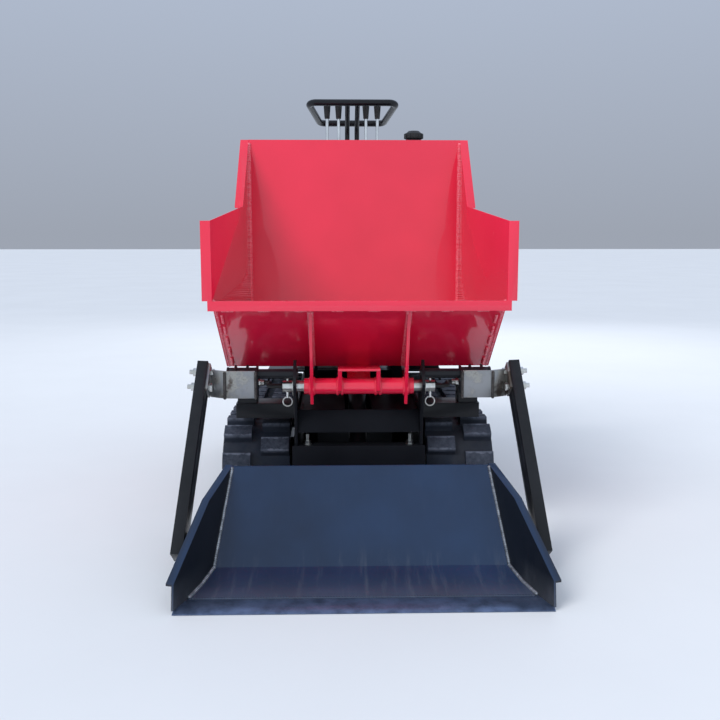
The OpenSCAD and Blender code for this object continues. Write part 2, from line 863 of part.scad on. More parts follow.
// the hub that turns on a stub axle, with its end plate and the two crank cheeks
module lift_crank_at(side) {
    inner = 258;
    plate_front = lift_y - 19;
    cheek = 6;
    color("black") placed() sided(side)
        difference() {
            union() {
                bar_x(inner, lift_y, lift_z, hub_d, stub_end - 6 - inner);
                across(inner, cheek)
                    polygon([[plate_front - bracket_plate, lift_z - 50],
                             [plate_front - bracket_plate, lift_z + 11],
                             [lift_y + 20, lift_z + 18], [lift_y + 24, lift_z - 10], [lift_y, lift_z - 50]]);
                for (x = [lift_ram_x - 18, lift_ram_x + 12]) {
                    across(x, cheek)
                        polygon([[plate_front, lift_z - 16], [plate_front, lift_z + 11],
                                 [lift_y + 8, lift_z + 22], [lift_y + 22, lift_z + 4],
                                 [crank_pin[0] + 12, crank_pin[1] + 6],
                                 [crank_pin[0] - 4, crank_pin[1] - 13],
                                 [lift_y - 8, lift_z - 22]]);
                    bar_x(x, crank_pin[0], crank_pin[1], 27, cheek);
                }
                bar_x(lift_ram_x - 18, crank_pin[0], crank_pin[1], crank_pin_d, 36);
            }
            bar_x(inner - 1, lift_y, lift_z, stub_d + 2 * running, 120);
        }
}

module lift_crank_left() {
    lift_crank_at(-1);
}

module lift_crank_right() {
    lift_crank_at(1);
}

// children drawn along +Y from the top of an arm, with X = 0 on its inner face
module along_arm() {
    translate([arm_x, arm_top[0], arm_top[1]]) rotate([arm_angle, 0, 0])
        rotate([0, 0, -arm_splay]) children();
}

// bent plate: across the front of the hub, then angled back to the arm
module lift_bracket_at(side) {
    front = lift_y - 19 - bracket_plate;
    bend_x = 340;
    low = lift_z - 59;
    tall = 70;
    flange_y = front + 24;
    color("lightgray") placed() sided(side)
        difference() {
            union() {
                translate([0, 0, low]) linear_extrude(tall)
                    polygon([[264, front], [bend_x + 2, front], [arm_x - 2, flange_y],
                             [arm_x - 2, flange_y + 7], [bend_x, front + bracket_plate],
                             [264, front + bracket_plate]]);
                along_arm()
                    translate([-bracket_plate, 4, -26]) cube([bracket_plate, 72, 52]);
            }
            along_arm()
                for (y = bolt_ys)
                    translate([-bracket_plate, y, 0]) rotate([0, 90, 0]) {
                        translate([0, 0, -14]) cylinder(d = 2 * bolt_d + 1, h = 14);
                        translate([0, 0, -1]) cylinder(d = bolt_d, h = bracket_plate + 2);
                    }
        }
}

module lift_bracket_left() {
    lift_bracket_at(-1);
}

module lift_bracket_right() {
    lift_bracket_at(1);
}

module lift_arm_at(side) {
    wall = 4;
    color("black") placed() sided(side) {
        along_arm()
            difference() {
                translate([0, 0, -arm_depth / 2]) cube([arm_width, arm_length, arm_depth]);
                translate([wall, -1, wall - arm_depth / 2])
                    cube([arm_width - 2 * wall, arm_length - 5, arm_depth - 2 * wall]);
                for (y = bolt_ys)
                    translate([-1, y, 0]) rotate([0, 90, 0]) cylinder(d = bolt_d, h = arm_width + 2);
            }
        along_side() translate([shovel_sheet, 18, 46]) cube([76, 34, 40]);
    }
}

module lift_arm_left() {
    lift_arm_at(-1);
}

module lift_arm_right() {
    lift_arm_at(1);
}

module arm_bolts() {
    color("silver") placed()
        for (side = [-1, 1])
            sided(side)
                along_arm()
                    for (y = bolt_ys)
                        translate([0, y, 0]) rotate([0, 90, 0]) {
                            translate([0, 0, -bracket_plate - 8]) cylinder(d = 21, h = 8, $fn = 6);
                            translate([0, 0, -bracket_plate])
                                cylinder(d = bolt_d, h = bracket_plate + arm_width + 22);
                            translate([0, 0, arm_width]) cylinder(d = 24, h = 2.5);
                            translate([0, 0, arm_width + 2.5]) cylinder(d = 21, h = 10, $fn = 6);
                        }
}

// children in a side plate's own plane: X out of its inner face, Y back from the bend, Z up
module along_side() {
    translate([bend_half_width, back_bend_y, 0]) rotate([0, 0, side_flare]) children();
}

function flat_y(y) = (y - back_bend_y) / cos(side_flare);

module shell_outline() {
    t = shovel_sheet;
    polygon([[back_top_y, back_top_z], [back_bend_y, back_bend_z], [floor_break_y, blade_plate + 5],
             [blade_rear_y, blade_plate], [blade_rear_y, blade_plate - t],
             [floor_break_y + 1, blade_plate + 5 - t],
             [back_bend_y + 4, back_bend_z - t], [back_top_y + 6, back_top_z]]);
}

module shovel_plan() {
    slope = tan(side_flare);
    wall = bend_half_width + shovel_sheet / 2;
    rear = wall - 160 * slope;
    front = wall + 240 * slope;
    linear_extrude(400)
        polygon([[-rear, back_bend_y + 160], [rear, back_bend_y + 160], [front, back_bend_y - 240],
                 [-front, back_bend_y - 240]]);
}

// a side plate with a strip folded outwards along its top edge
module shovel_side() {
    t = shovel_sheet;
    rear = [flat_y(back_top_y + 5), back_top_z + 2];
    shoulder = [flat_y(back_bend_y - 14), 190];
    nose = [flat_y(blade_y + 8), 64];
    across(0, t)
        polygon([rear, shoulder, nose, [flat_y(blade_y + 3), blade_plate],
                 [flat_y(blade_rear_y), blade_plate],
                 [flat_y(blade_rear_y), blade_plate - t - 1], [flat_y(floor_break_y), blade_plate + 3 - t],
                 [flat_y(back_bend_y + 7), back_bend_z - t - 2]]);
    across(0, edge_strip)
        polygon([rear, shoulder, nose, nose - [0, 5], shoulder - [0, 6], rear - [0, 6]]);
}

module shovel() {
    color("black") placed() {
        intersection() {
            across(-500, 1000) shell_outline();
            shovel_plan();
        }
        for (side = [-1, 1])
            sided(side) along_side() shovel_side();
    }
}

module cutting_edge() {
    half = bend_half_width + (back_bend_y - blade_y) * tan(side_flare) + 2;
    color("dimgray") placed() across(-half, 2 * half)
        polygon([[blade_rear_y, 0], [blade_rear_y, blade_plate], [blade_y + 20, blade_plate],
                 [blade_y, 2], [blade_y, 0]]);
}

module lift_hoses() {
    hose = 12;
    root = chassis_half + side_plate_t;
    port = [lift_ram_x - lift_barrel_d / 2 - 9, lift_barrel_y + 30];
    color("black") placed()
        for (side = [-1, 1])
            sided(side) translate([0, 0, lift_rod_z])
                bent_tube([[root, port[1] - 58], [port[0] - 34, port[1] - 58],
                           [port[0] - 34, port[1]], port],
                          hose, 18);
}

// the deck over the side plates, with a bulkhead between them under its front edge
module engine_deck() {
    half = 285;
    front = rear_wall_y + skip_sheet + 20;
    drop = 140;
    color("black") placed() {
        box(-half, front, deck_z, [2 * half, chassis_rear_y + 20 - front, deck_t]);
        box(-chassis_half, front + 2, deck_z - drop, [2 * chassis_half, 5, drop + 1]);
        for (x = [-half, half - 5])
            box(x, front, deck_z - 30, [5, chassis_rear_y + 20 - front, 31]);
        for (y = foot_ys)
            for (x = foot_xs)
                translate([x, y, deck_z + 1]) {
                    cylinder(d = 10, h = deck_t + foot_t + 13);
                    translate([0, 0, deck_t + foot_t - 1]) cylinder(d = 18, h = 8, $fn = 6);
                }
    }
}

// horizontal-shaft engine: crankcase, leaning finned cylinder, head and feet
module engine_block() {
    color("silver") placed() {
        difference() {
            for (y = foot_ys)
                box(-192, y - 18, deck_top, [216, 36, foot_t]);
            for (y = foot_ys)
                for (x = foot_xs)
                    translate([x, y, deck_top - 1]) cylinder(d = 11, h = foot_t + 2);
        }
        box(-165, 612, deck_top + 13, [160, 176, 150]);
        box(-5.5, 640, deck_top + 50, [30, 100, 113]);
        bar_x(-171, crank_shaft[0], crank_shaft[1], 130, 8);
        translate([-70, crank_shaft[0] + 20, crank_shaft[1] + 20]) rotate([-cylinder_lean - 40, 0, 0]) {
            translate([-50, -50, 30]) cube([100, 100, 105]);
            for (k = [0 : 6])
                translate([-74, -68, 58 + k * 11]) cube([148, 136, 4]);
            translate([-62, -60, 134]) cube([124, 120, 26]);
        }
        box(-110, 808, muffler_z - 40, [40, 24, 40]);
        bar_x(-215, crank_shaft[0], crank_shaft[1], 26, 60);
        bar_x(-258, crank_shaft[0], crank_shaft[1], 90, 44);
        box(-276, crank_shaft[0] - 40, crank_shaft[1] - 40, [20, 80, 80]);
    }
}

module engine_shroud() {
    color("firebrick") placed()
        difference() {
            union() {
                bar_x(25, crank_shaft[0], crank_shaft[1], 214, 52);
                translate([77, crank_shaft[0], crank_shaft[1]]) rotate([0, 90, 0])
                    cylinder(d1 = 190, d2 = 150, h = 20);
                bar_x(96, crank_shaft[0], crank_shaft[1], 78, 10);
            }
            for (k = [0 : 11])
                translate([0, crank_shaft[0], crank_shaft[1]]) rotate([k * 30, 0, 0])
                    box(88, -4, 44, [12, 8, 24]);
            box(24, crank_shaft[0] - 110, deck_top - 20, [90, 220, 22]);
        }
}

module fuel_tank() {
    low = deck_top + 254;
    color("firebrick") placed() {
        across(-190, 240)
            polygon([[596, low + 14], [610, low], [752, low], [766, low + 14], [766, low + 96],
                     [744, low + 118], [618, low + 118], [596, low + 96]]);
        translate([-70, 680, low + 117]) cylinder(d = 46, h = 10);
        translate([-70, 680, low + 126]) cylinder(d = 62, h = 20);
        for (x = [-150, -20])
            box(x, 640, deck_top + 163, [14, 26, low - deck_top - 162]);
    }
}

module muffler() {
    color("dimgray") placed() {
        translate([0, 0, muffler_z])
            across(-185, 150)
                polygon([[806, 6], [820, 0], [884, 0], [898, 14],
                         [898, 84], [884, 98], [820, 98], [806, 84]]);
        bar_x(-36, 852, muffler_z + 62, 24, 30);
    }
}

module air_cleaner() {
    color("black") placed() {
        box(28, 800, deck_top + 150, [62, 76, 70]);
        translate([59, 838, deck_top + 219]) cylinder(d = 96, h = 66);
        translate([59, 838, deck_top + 284]) cylinder(d1 = 96, d2 = 70, h = 12);
        translate([59, 838, deck_top + 295]) cylinder(d = 14, h = 12);
        bar_x(-8, 850, deck_top + 174, 30, 37);
    }
}

module oil_tank() {
    bore = 25;
    color("black") placed()
        difference() {
            union() {
                translate([118, 578, deck_top]) cube([160, 110, tank_top - deck_top]);
                translate([tank_cap[0], tank_cap[1], tank_top - 1]) cylinder(r = bore, h = 11);
                bar_x(112, 633, deck_top + 60, 34, 10);
                box(106, 590, deck_top + 240, [14, 12, 120]);
            }
            translate([122, 582, deck_top + 4]) cube([152, 102, tank_top - deck_top - 8]);
            translate([tank_cap[0], tank_cap[1], tank_top - 10]) cylinder(r = bore - 5, h = 30);
        }
}

module oil_cap() {
    color("black") placed() translate([tank_cap[0], tank_cap[1], tank_top + 10 + gap]) {
        cylinder(d = 58, h = 16);
        translate([0, 0, 16]) cylinder(d1 = 52, d2 = 34, h = 8);
        translate([0, 0, -24]) cylinder(r = 20 - running, h = 25);
        for (k = [0 : 11])
            rotate([0, 0, k * 30]) translate([28, -3, 0]) cube([3, 6, 15]);
    }
}

// the column's outline, drawn in by a wall
module console_outline(wall, low) {
    polygon([[console_front_y + wall, low], [console_rear_y - wall, low],
             [console_rear_y + console_rake - wall, console_top - wall],
             [console_front_y + console_lean + wall, console_top - wall]]);
}

// a folded column that carries the valve and the handle
module console() {
    half = console_width / 2;
    foot = 20;
    color("black") placed()
        difference() {
            union() {
                across(-half, console_width) console_outline(0, deck_top);
                box(-half - foot, console_front_y - 8, deck_top,
                    [console_width + 2 * foot, console_depth + 14, 8]);
            }
            across(-half + console_sheet, console_width - 2 * console_sheet)
                console_outline(console_sheet, deck_top - 1);
            box(-half + 40, console_rear_y - 12, deck_top + 60, [console_width - 80, 60, 220]);
        }
}

// four spools under four forks, with a union on each side
module valve_block() {
    cheek = 5;
    fork = lever_boss / 2 + gap;
    half = console_width / 2 - 8;
    body_y = lever_y - 26;
    top = console_top + valve_h;
    color("gray") placed() {
        box(-half, body_y, console_top, [2 * half, 52, valve_h]);
        for (x = lever_xs) {
            for (side = [-1, 1])
                across(x + side * (fork + cheek / 2) - cheek / 2, cheek)
                    polygon([[lever_y - 14, top - 1], [lever_y - 9, lever_z + 9], [lever_y + 9, lever_z + 9],
                             [lever_y + 14, top - 1]]);
            bar_x(x - fork - cheek - 2, lever_y, lever_z, lever_pin_d, 2 * fork + 2 * cheek + 4);
            translate([x, body_y + 1, console_top + valve_h / 2])
                rotate([90, 0, 0]) cylinder(d = 24, h = 15);
        }
        for (x = [-half - 14, half - 1])
            bar_x(x, lever_y, console_top + valve_h / 2, 22, 15);
    }
}

module handle() {
    tilt = atan2(handle_rear_z - handle_front_z, handle_rear_y - handle_front_y);
    depth = norm([handle_rear_y - handle_front_y, handle_rear_z - handle_front_z]);
    front = handle_front_width / 2;
    rear = handle_rear_width / 2;
    post_d = 17;
    color("black") placed() {
        translate([0, handle_front_y, handle_front_z]) rotate([tilt, 0, 0])
            bent_tube([[-front, 0], [front, 0], [rear, depth], [-rear, depth]], handle_d, 24, true);
        for (x = [-post_x, post_x])
            translate([x, 0, 0]) rotate([90, 0, 90])
                bent_tube([[post_y, console_top], [post_y, handle_front_z - post_drop],
                           [handle_front_y + 4, handle_front_z - 2]], post_d, 40);
    }
}

// a lever: boss on its pin, and a rod that rises to its grip
module lever_at(i) {
    color("silver") placed() translate([lever_xs[i], lever_y, 0])
        difference() {
            union() {
                bar_x(-lever_boss / 2, 0, lever_z, 18, lever_boss);
                translate([0, 0, lever_z]) cylinder(d = lever_d, h = grip_z + 30 - lever_z);
            }
            bar_x(-lever_boss, 0, lever_z, lever_pin_d + 2 * running, 2 * lever_boss);
        }
}

module grip_at(i) {
    color("black") placed() translate([lever_xs[i], lever_y, grip_z])
        difference() {
            union() {
                cylinder(d1 = 18, d2 = 25, h = 44);
                translate([0, 0, 44]) cylinder(d1 = 25, d2 = 17, h = 8);
            }
            translate([0, 0, -1]) cylinder(d = lever_d, h = 31);
        }
}

module lever_1() {
    lever_at(0);
}

module lever_2() {
    lever_at(1);
}

module lever_3() {
    lever_at(2);
}

module lever_4() {
    lever_at(3);
}

module grip_1() {
    grip_at(0);
}

module grip_2() {
    grip_at(1);
}

module grip_3() {
    grip_at(2);
}

module grip_4() {
    grip_at(3);
}

side_plate_left();
side_plate_right();
front_panel();
front_channel();
front_studs();
belly_plate();
hinge_pin();
lift_barrel_left();
lift_barrel_right();
lift_hoses();
track_frame_left();
track_frame_right();
track_belt_left();
track_belt_right();
track_motor_left();
track_motor_right();
sprocket_left();
sprocket_right();
idler_left();
idler_right();
roller_left_1();
roller_left_2();
roller_left_3();
roller_right_1();
roller_right_2();
roller_right_3();
engine_deck();
engine_block();
engine_shroud();
fuel_tank();
muffler();
air_cleaner();
oil_tank();
oil_cap();
console();
valve_block();
handle();
lever_1();
lever_2();
lever_3();
lever_4();
grip_1();
grip_2();
grip_3();
grip_4();
tip_ram_barrel();
tip_ram_rod();
skip_tub();
hinge_frame();
lift_crank_left();
lift_crank_right();
lift_bracket_left();
lift_bracket_right();
lift_arm_left();
lift_arm_right();
arm_bolts();
lift_rod_left();
lift_rod_right();
shovel();
cutting_edge();
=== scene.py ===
import bpy
import math
from mathutils import Matrix, Vector


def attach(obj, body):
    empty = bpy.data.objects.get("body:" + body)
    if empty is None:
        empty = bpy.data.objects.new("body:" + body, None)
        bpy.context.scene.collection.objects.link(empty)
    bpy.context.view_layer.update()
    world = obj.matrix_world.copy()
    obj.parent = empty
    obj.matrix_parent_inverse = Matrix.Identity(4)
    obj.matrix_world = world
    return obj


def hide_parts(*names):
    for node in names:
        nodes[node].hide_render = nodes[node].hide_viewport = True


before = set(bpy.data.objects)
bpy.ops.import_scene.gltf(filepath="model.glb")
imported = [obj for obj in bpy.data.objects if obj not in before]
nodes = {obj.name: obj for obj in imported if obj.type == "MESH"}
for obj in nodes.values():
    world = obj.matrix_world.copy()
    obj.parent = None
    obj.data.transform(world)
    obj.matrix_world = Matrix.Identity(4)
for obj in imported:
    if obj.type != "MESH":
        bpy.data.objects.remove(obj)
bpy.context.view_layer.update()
print("frame loaded:", len(nodes), "CAD nodes")

backShift = -0.28075  # from the front of the tracks to the shared origin
bothSides = (-1, 1)
upward, forward = Vector((0, 0, 1)), Vector((0, -1, 0))


def deselectAll():
    if bpy.context.object and bpy.context.object.mode != "OBJECT":
        bpy.ops.object.mode_set(mode="OBJECT")
    bpy.ops.object.select_all(action="DESELECT")


def makeActive(piece):
    deselectAll()
    piece.select_set(True)
    bpy.context.view_layer.objects.active = piece


class Value:
    # one socket; arithmetic on it adds Math nodes to the same material
    def __init__(self, finish, socket):
        self.finish, self.socket = finish, socket

    def calc(self, operation, first, second=0.0):
        return self.finish.node("ShaderNodeMath", {"operation": operation}, {0: first, 1: second})

    def __add__(self, other):
        return self.calc("ADD", self, other)

    def __sub__(self, other):
        return self.calc("SUBTRACT", self, other)

    def __rsub__(self, other):
        return self.calc("SUBTRACT", other, self)

    def __mul__(self, other):
        return self.calc("MULTIPLY", self, other)

    def __truediv__(self, other):
        return self.calc("DIVIDE", self, other)

    def __pow__(self, other):
        return self.calc("POWER", self, other)

    def __gt__(self, other):
        return self.calc("GREATER_THAN", self, other)

    def __abs__(self):
        return self.calc("ABSOLUTE", self)

    def most(self, other):
        return self.calc("MAXIMUM", self, other)

    def least(self, other):
        return self.calc("MINIMUM", self, other)

    __radd__ = __add__


class Finish:
    # a material with one Principled shader; constants go straight on its sockets
    def __init__(self, name, **constants):
        self.material = bpy.data.materials.new(name)
        self.material.use_nodes = True
        self.tree = self.material.node_tree
        self.shader = self.tree.nodes["Principled BSDF"]
        for socket, value in constants.items():
            self.feed(socket, value)
        self.place = self.node("ShaderNodeTexCoord", {}, {}, "Object")

    def node(self, kind, settings, inputs, out=0):
        made = self.tree.nodes.new(kind)
        for key, value in settings.items():
            setattr(made, key, value)
        for key, value in inputs.items():
            self.link(made.inputs[key], value)
        return Value(self, made.outputs[out])

    def link(self, socket, value):
        if isinstance(value, Value):
            self.tree.links.new(value.socket, socket)
        else:
            socket.default_value = value

    def feed(self, socket, value):
        self.link(self.shader.inputs[socket.replace("_", " ")], value)

    def noise(self, scale, detail, rough=0.55, stretch=None):
        where = self.place
        if stretch:
            where = self.node("ShaderNodeMapping", {}, {"Vector": self.place, "Scale": stretch}, "Vector")
        return self.node("ShaderNodeTexNoise", {}, {"Vector": where, "Scale": scale, "Detail": detail,
                                                    "Roughness": rough}, "Fac")

    def ramp(self, value, low, high):
        made = self.node("ShaderNodeValToRGB", {}, {"Fac": value}, "Color")
        black, white = made.socket.node.color_ramp.elements
        black.position, white.position = low, high
        return made

    def mix(self, mask, first, second):
        first, second = ((*colour, 1) if isinstance(colour, tuple) else colour for colour in (first, second))
        return self.node("ShaderNodeMix", {"data_type": "RGBA"}, {0: mask, 6: first, 7: second}, 2)

    def split(self, vector):
        parts = self.tree.nodes.new("ShaderNodeSeparateXYZ")
        self.link(parts.inputs[0], vector)
        return [Value(self, out) for out in parts.outputs]

    def axes(self):
        return self.split(self.place)

    def facing(self):
        return self.split(self.node("ShaderNodeNewGeometry", {}, {}, "Normal"))

    def bump(self, height, strength, distance):
        self.feed("Normal", self.node("ShaderNodeBump", {}, {"Height": height, "Strength": strength,
                                                             "Distance": distance}, "Normal"))


# in the finishes a noise is scale, detail, roughness and stretch, a span is where a ramp starts and ends,
# and a bump is strength and distance
# red and deep are the paint's own red with a painted reflection of the blue sky mixed in, which gives a pink tint
redPaint = {"red": (0.76, 0.012, 0.054), "deep": (0.66, 0.008, 0.041), "dust": (0.42, 0.24, 0.22),
            "pale": (0.86, 0.27, 0.33), "cloud": (2.6, 3.0), "cloudSpan": (0.35, 0.7), "grain": (190.0, 2.0),
            "crestSpan": (0.3, 0.7), "streak": (26.0, 5.0, 0.7, (0.5, 4.0, 1.0)), "streakSpan": (0.66, 0.74),
            "streakShare": 0.10, "upSpan": (0.5, 1.0), "lying": (14.0, 6.0, 0.7), "lyingSpan": (0.45, 0.75),
            "lyingShare": 0.5, "dustBase": 0.5, "rough": 0.20, "cloudRough": 0.10, "dustRough": 0.35,
            "ripple": (18.0, 2.0), "rippleShare": 1.5, "bump": (0.05, 0.002)}


# pale above zero lays the pale colour on the grain's crests as a painted highlight
def makeRedPaint(name, shade, wear, pale=0.0):
    finish = Finish(name, Coat_Weight=1.0, Coat_Roughness=0.05, Coat_IOR=1.6, Specular_IOR_Level=0.2)
    cloud = finish.noise(*redPaint["cloud"])
    grain = finish.noise(*redPaint["grain"])
    colour = finish.mix(finish.ramp(cloud, *redPaint["cloudSpan"]), tuple(c * shade for c in redPaint["deep"]),
                        tuple(c * shade for c in redPaint["red"]))
    if pale:  # painted highlight on the crests of a weld
        colour = finish.mix(finish.ramp(grain, *redPaint["crestSpan"]) * pale, colour, redPaint["pale"])
    streak = finish.ramp(finish.noise(*redPaint["streak"]), *redPaint["streakSpan"])
    lying = finish.ramp(finish.facing()[2], *redPaint["upSpan"])
    lying = lying * finish.ramp(finish.noise(*redPaint["lying"]), *redPaint["lyingSpan"])
    dust = streak * redPaint["streakShare"] + lying * redPaint["lyingShare"]
    finish.feed("Base Color", finish.mix(dust * (redPaint["dustBase"] + wear), colour, redPaint["dust"]))
    finish.feed("Roughness", redPaint["rough"] + cloud * redPaint["cloudRough"] + dust * redPaint["dustRough"])
    finish.bump(grain + finish.noise(*redPaint["ripple"]) * redPaint["rippleShare"], *redPaint["bump"])
    return finish.material


blackPaint = {"black": (0.0045, 0.005, 0.007), "worn": (0.009, 0.010, 0.0135), "dust": (0.13, 0.125, 0.12),
              "cloud": (5.0, 4.0), "cloudSpan": (0.3, 0.75), "fine": (70.0, 5.0, 0.65), "fineSpan": (0.42, 0.78),
              "upSpan": (0.3, 1.0), "cloudRough": 0.14, "dustRough": 0.5, "peel": (150.0, 2.0),
              "bump": (0.06, 0.002), "coated": 0.25, "plain": 0.05}


def makeBlackPaint(name, dustiness, rough=0.30, coat=0.12):
    shine = blackPaint["coated"] if coat else blackPaint["plain"]
    finish = Finish(name, Coat_Weight=coat, Coat_Roughness=0.1, Specular_IOR_Level=shine)
    cloud = finish.noise(*blackPaint["cloud"])
    fine = finish.noise(*blackPaint["fine"])
    colour = finish.mix(finish.ramp(cloud, *blackPaint["cloudSpan"]), blackPaint["black"], blackPaint["worn"])
    lying = finish.ramp(finish.facing()[2], *blackPaint["upSpan"])
    dust = lying * finish.ramp(fine, *blackPaint["fineSpan"]) * dustiness
    finish.feed("Base Color", finish.mix(dust, colour, blackPaint["dust"]))
    finish.feed("Roughness", rough + cloud * blackPaint["cloudRough"] + dust * blackPaint["dustRough"])
    finish.bump(finish.noise(*blackPaint["peel"]) + cloud, *blackPaint["bump"])
    return finish.material


# blue and sheen are a painted reflection of the blue sky, laid on the back and floor; black is the paint's own
# colour
shovelPaint = {"black": (0.004, 0.0055, 0.0095), "blue": (0.006, 0.0165, 0.044), "sheen": (0.0105, 0.029, 0.076),
               "bare": (0.30, 0.32, 0.36), "cloud": (4.0, 4.0), "cloudSpan": (0.3, 0.75),
               "drag": (9.0, 6.0, 0.7, (6.0, 0.6, 1.0)), "dragSpan": (0.52, 0.72), "lowSpan": (0.012, 0.07),
               "front": -0.82, "reach": 0.16, "dragLow": 0.2, "dragHigh": 0.015, "edgeWear": 0.3,
               "sideSpan": (0.2, 0.5), "wearColour": 0.5, "wearMetal": 0.6, "rough": 0.30, "cloudRough": 0.12,
               "wearRough": 0.15, "pits": (120.0, 3.0), "dragDepth": 0.6, "bump": (0.08, 0.002)}


def makeShovelPaint(name):
    finish = Finish(name, Coat_Weight=0.15, Coat_Roughness=0.14, Specular_IOR_Level=0.35)
    y, z = finish.axes()[1:]
    cloud = finish.noise(*shovelPaint["cloud"])
    # scratches run back from the blade
    drag = finish.ramp(finish.noise(*shovelPaint["drag"]), *shovelPaint["dragSpan"])
    low = 1 - finish.ramp(z, *shovelPaint["lowSpan"])
    near = 1 - finish.ramp((y - shovelPaint["front"]) / shovelPaint["reach"], 0.0, 1.0)
    wear = drag * (low * shovelPaint["dragLow"] + shovelPaint["dragHigh"]) + near * low * shovelPaint["edgeWear"]
    wear = wear.least(1.0)
    skySheen = finish.mix(finish.ramp(cloud, *shovelPaint["cloudSpan"]), shovelPaint["blue"], shovelPaint["sheen"])
    # painted reflection of the blue sky on the back and floor, the sides keep the black paint
    sides = finish.ramp(abs(finish.facing()[0]), *shovelPaint["sideSpan"])
    colour = finish.mix(sides, skySheen, shovelPaint["black"])
    finish.feed("Base Color", finish.mix(wear * shovelPaint["wearColour"], colour, shovelPaint["bare"]))
    finish.feed("Metallic", wear * shovelPaint["wearMetal"])
    finish.feed("Roughness", shovelPaint["rough"] + cloud * shovelPaint["cloudRough"]
                + wear * shovelPaint["wearRough"])
    finish.bump(finish.noise(*shovelPaint["pits"]) + drag * shovelPaint["dragDepth"], *shovelPaint["bump"])
    return finish.material


bareSteel = {"clean": (0.33, 0.335, 0.345), "brown": (0.135, 0.11, 0.092), "blue": (0.20, 0.225, 0.27),
             "rim": (0.54, 0.53, 0.48), "blotch": (17.0, 5.0, 0.62), "blotchSpan": (0.44, 0.62),
             "heat": (9.0, 3.0), "heatSpan": (0.56, 0.68), "heatShare": 0.8, "rimIn": (0.46, 0.51),
             "rimOut": (0.53, 0.58), "rimShare": 0.5, "rough": 0.34, "blotchRough": 0.28,
             "brushed": (40.0, 4.0, 0.6, (1.0, 1.0, 9.0)), "blotchDepth": 0.5, "bump": (0.12, 0.001)}


def makeBareSteel(name):
    finish = Finish(name, Metallic=0.9, Specular_IOR_Level=0.5)
    blotch = finish.noise(*bareSteel["blotch"])
    heat = finish.noise(*bareSteel["heat"])
    brushed = finish.noise(*bareSteel["brushed"])
    colour = finish.mix(finish.ramp(blotch, *bareSteel["blotchSpan"]), bareSteel["clean"], bareSteel["brown"])
    blued = finish.ramp(heat, *bareSteel["heatSpan"]) * bareSteel["heatShare"]
    colour = finish.mix(blued, colour, bareSteel["blue"])
    # pale ring round a heat stain
    rim = finish.ramp(blotch, *bareSteel["rimIn"]) * (1 - finish.ramp(blotch, *bareSteel["rimOut"]))
    finish.feed("Base Color", finish.mix(rim * bareSteel["rimShare"], colour, bareSteel["rim"]))
    finish.feed("Roughness", bareSteel["rough"] + blotch * bareSteel["blotchRough"])
    finish.bump(brushed + blotch * bareSteel["blotchDepth"], *bareSteel["bump"])
    return finish.material


metalLook = {"detail": 4.0, "noiseRough": 0.6, "span": (0.35, 0.7), "cloudRough": 0.16, "finer": 5,
             "fineDetail": 3.0, "distance": 0.001}


def makeMetal(name, bright, dull, rough, scale=60.0, metallic=1.0, strength=0.08):
    finish = Finish(name, Metallic=metallic)
    cloud = finish.noise(scale, metalLook["detail"], metalLook["noiseRough"])
    finish.feed("Base Color", finish.mix(finish.ramp(cloud, *metalLook["span"]), bright, dull))
    finish.feed("Roughness", rough + cloud * metalLook["cloudRough"])
    fine = finish.noise(scale * metalLook["finer"], metalLook["fineDetail"])
    finish.bump(fine, strength, metalLook["distance"])
    return finish.material


trackRubber = {"rubber": (0.0125, 0.017, 0.029), "worn": (0.066, 0.076, 0.104), "dust": (0.15, 0.14, 0.125),
               "chip": (0.125, 0.14, 0.185), "front": -0.145618, "back": 0.646382, "axle": 0.135132,
               "belt": 0.1131, "pitchRadius": 0.103132, "step": 0.036, "lug": 0.022, "topSpan": (0.55, 0.98),
               "speckle": (85.0, 6.0, 0.7), "speckleShare": 0.6, "patch": (11.0, 4.0, 0.6), "patchShare": 0.5,
               "wornSpan": (0.42, 0.68), "bent": 0.0001, "ragged": (55.0, 5.0, 0.65), "lugReach": 0.02,
               "raggedMid": 0.5, "raggedShare": 0.9, "chipSpan": (0.74, 0.84), "patchySpan": (0.42, 0.56),
               "chipLeast": 0.3, "chipMore": 0.7, "grooveLow": 0.004, "grooveDeep": 0.012,
               "grooveSpan": (0.4, 0.65), "wornColour": 0.8, "chipColour": 0.75, "dustColour": 0.16,
               "rough": 0.62, "speckleRough": 0.25, "pores": (320.0, 2.0), "poreShare": 0.5, "bump": (0.25, 0.002)}


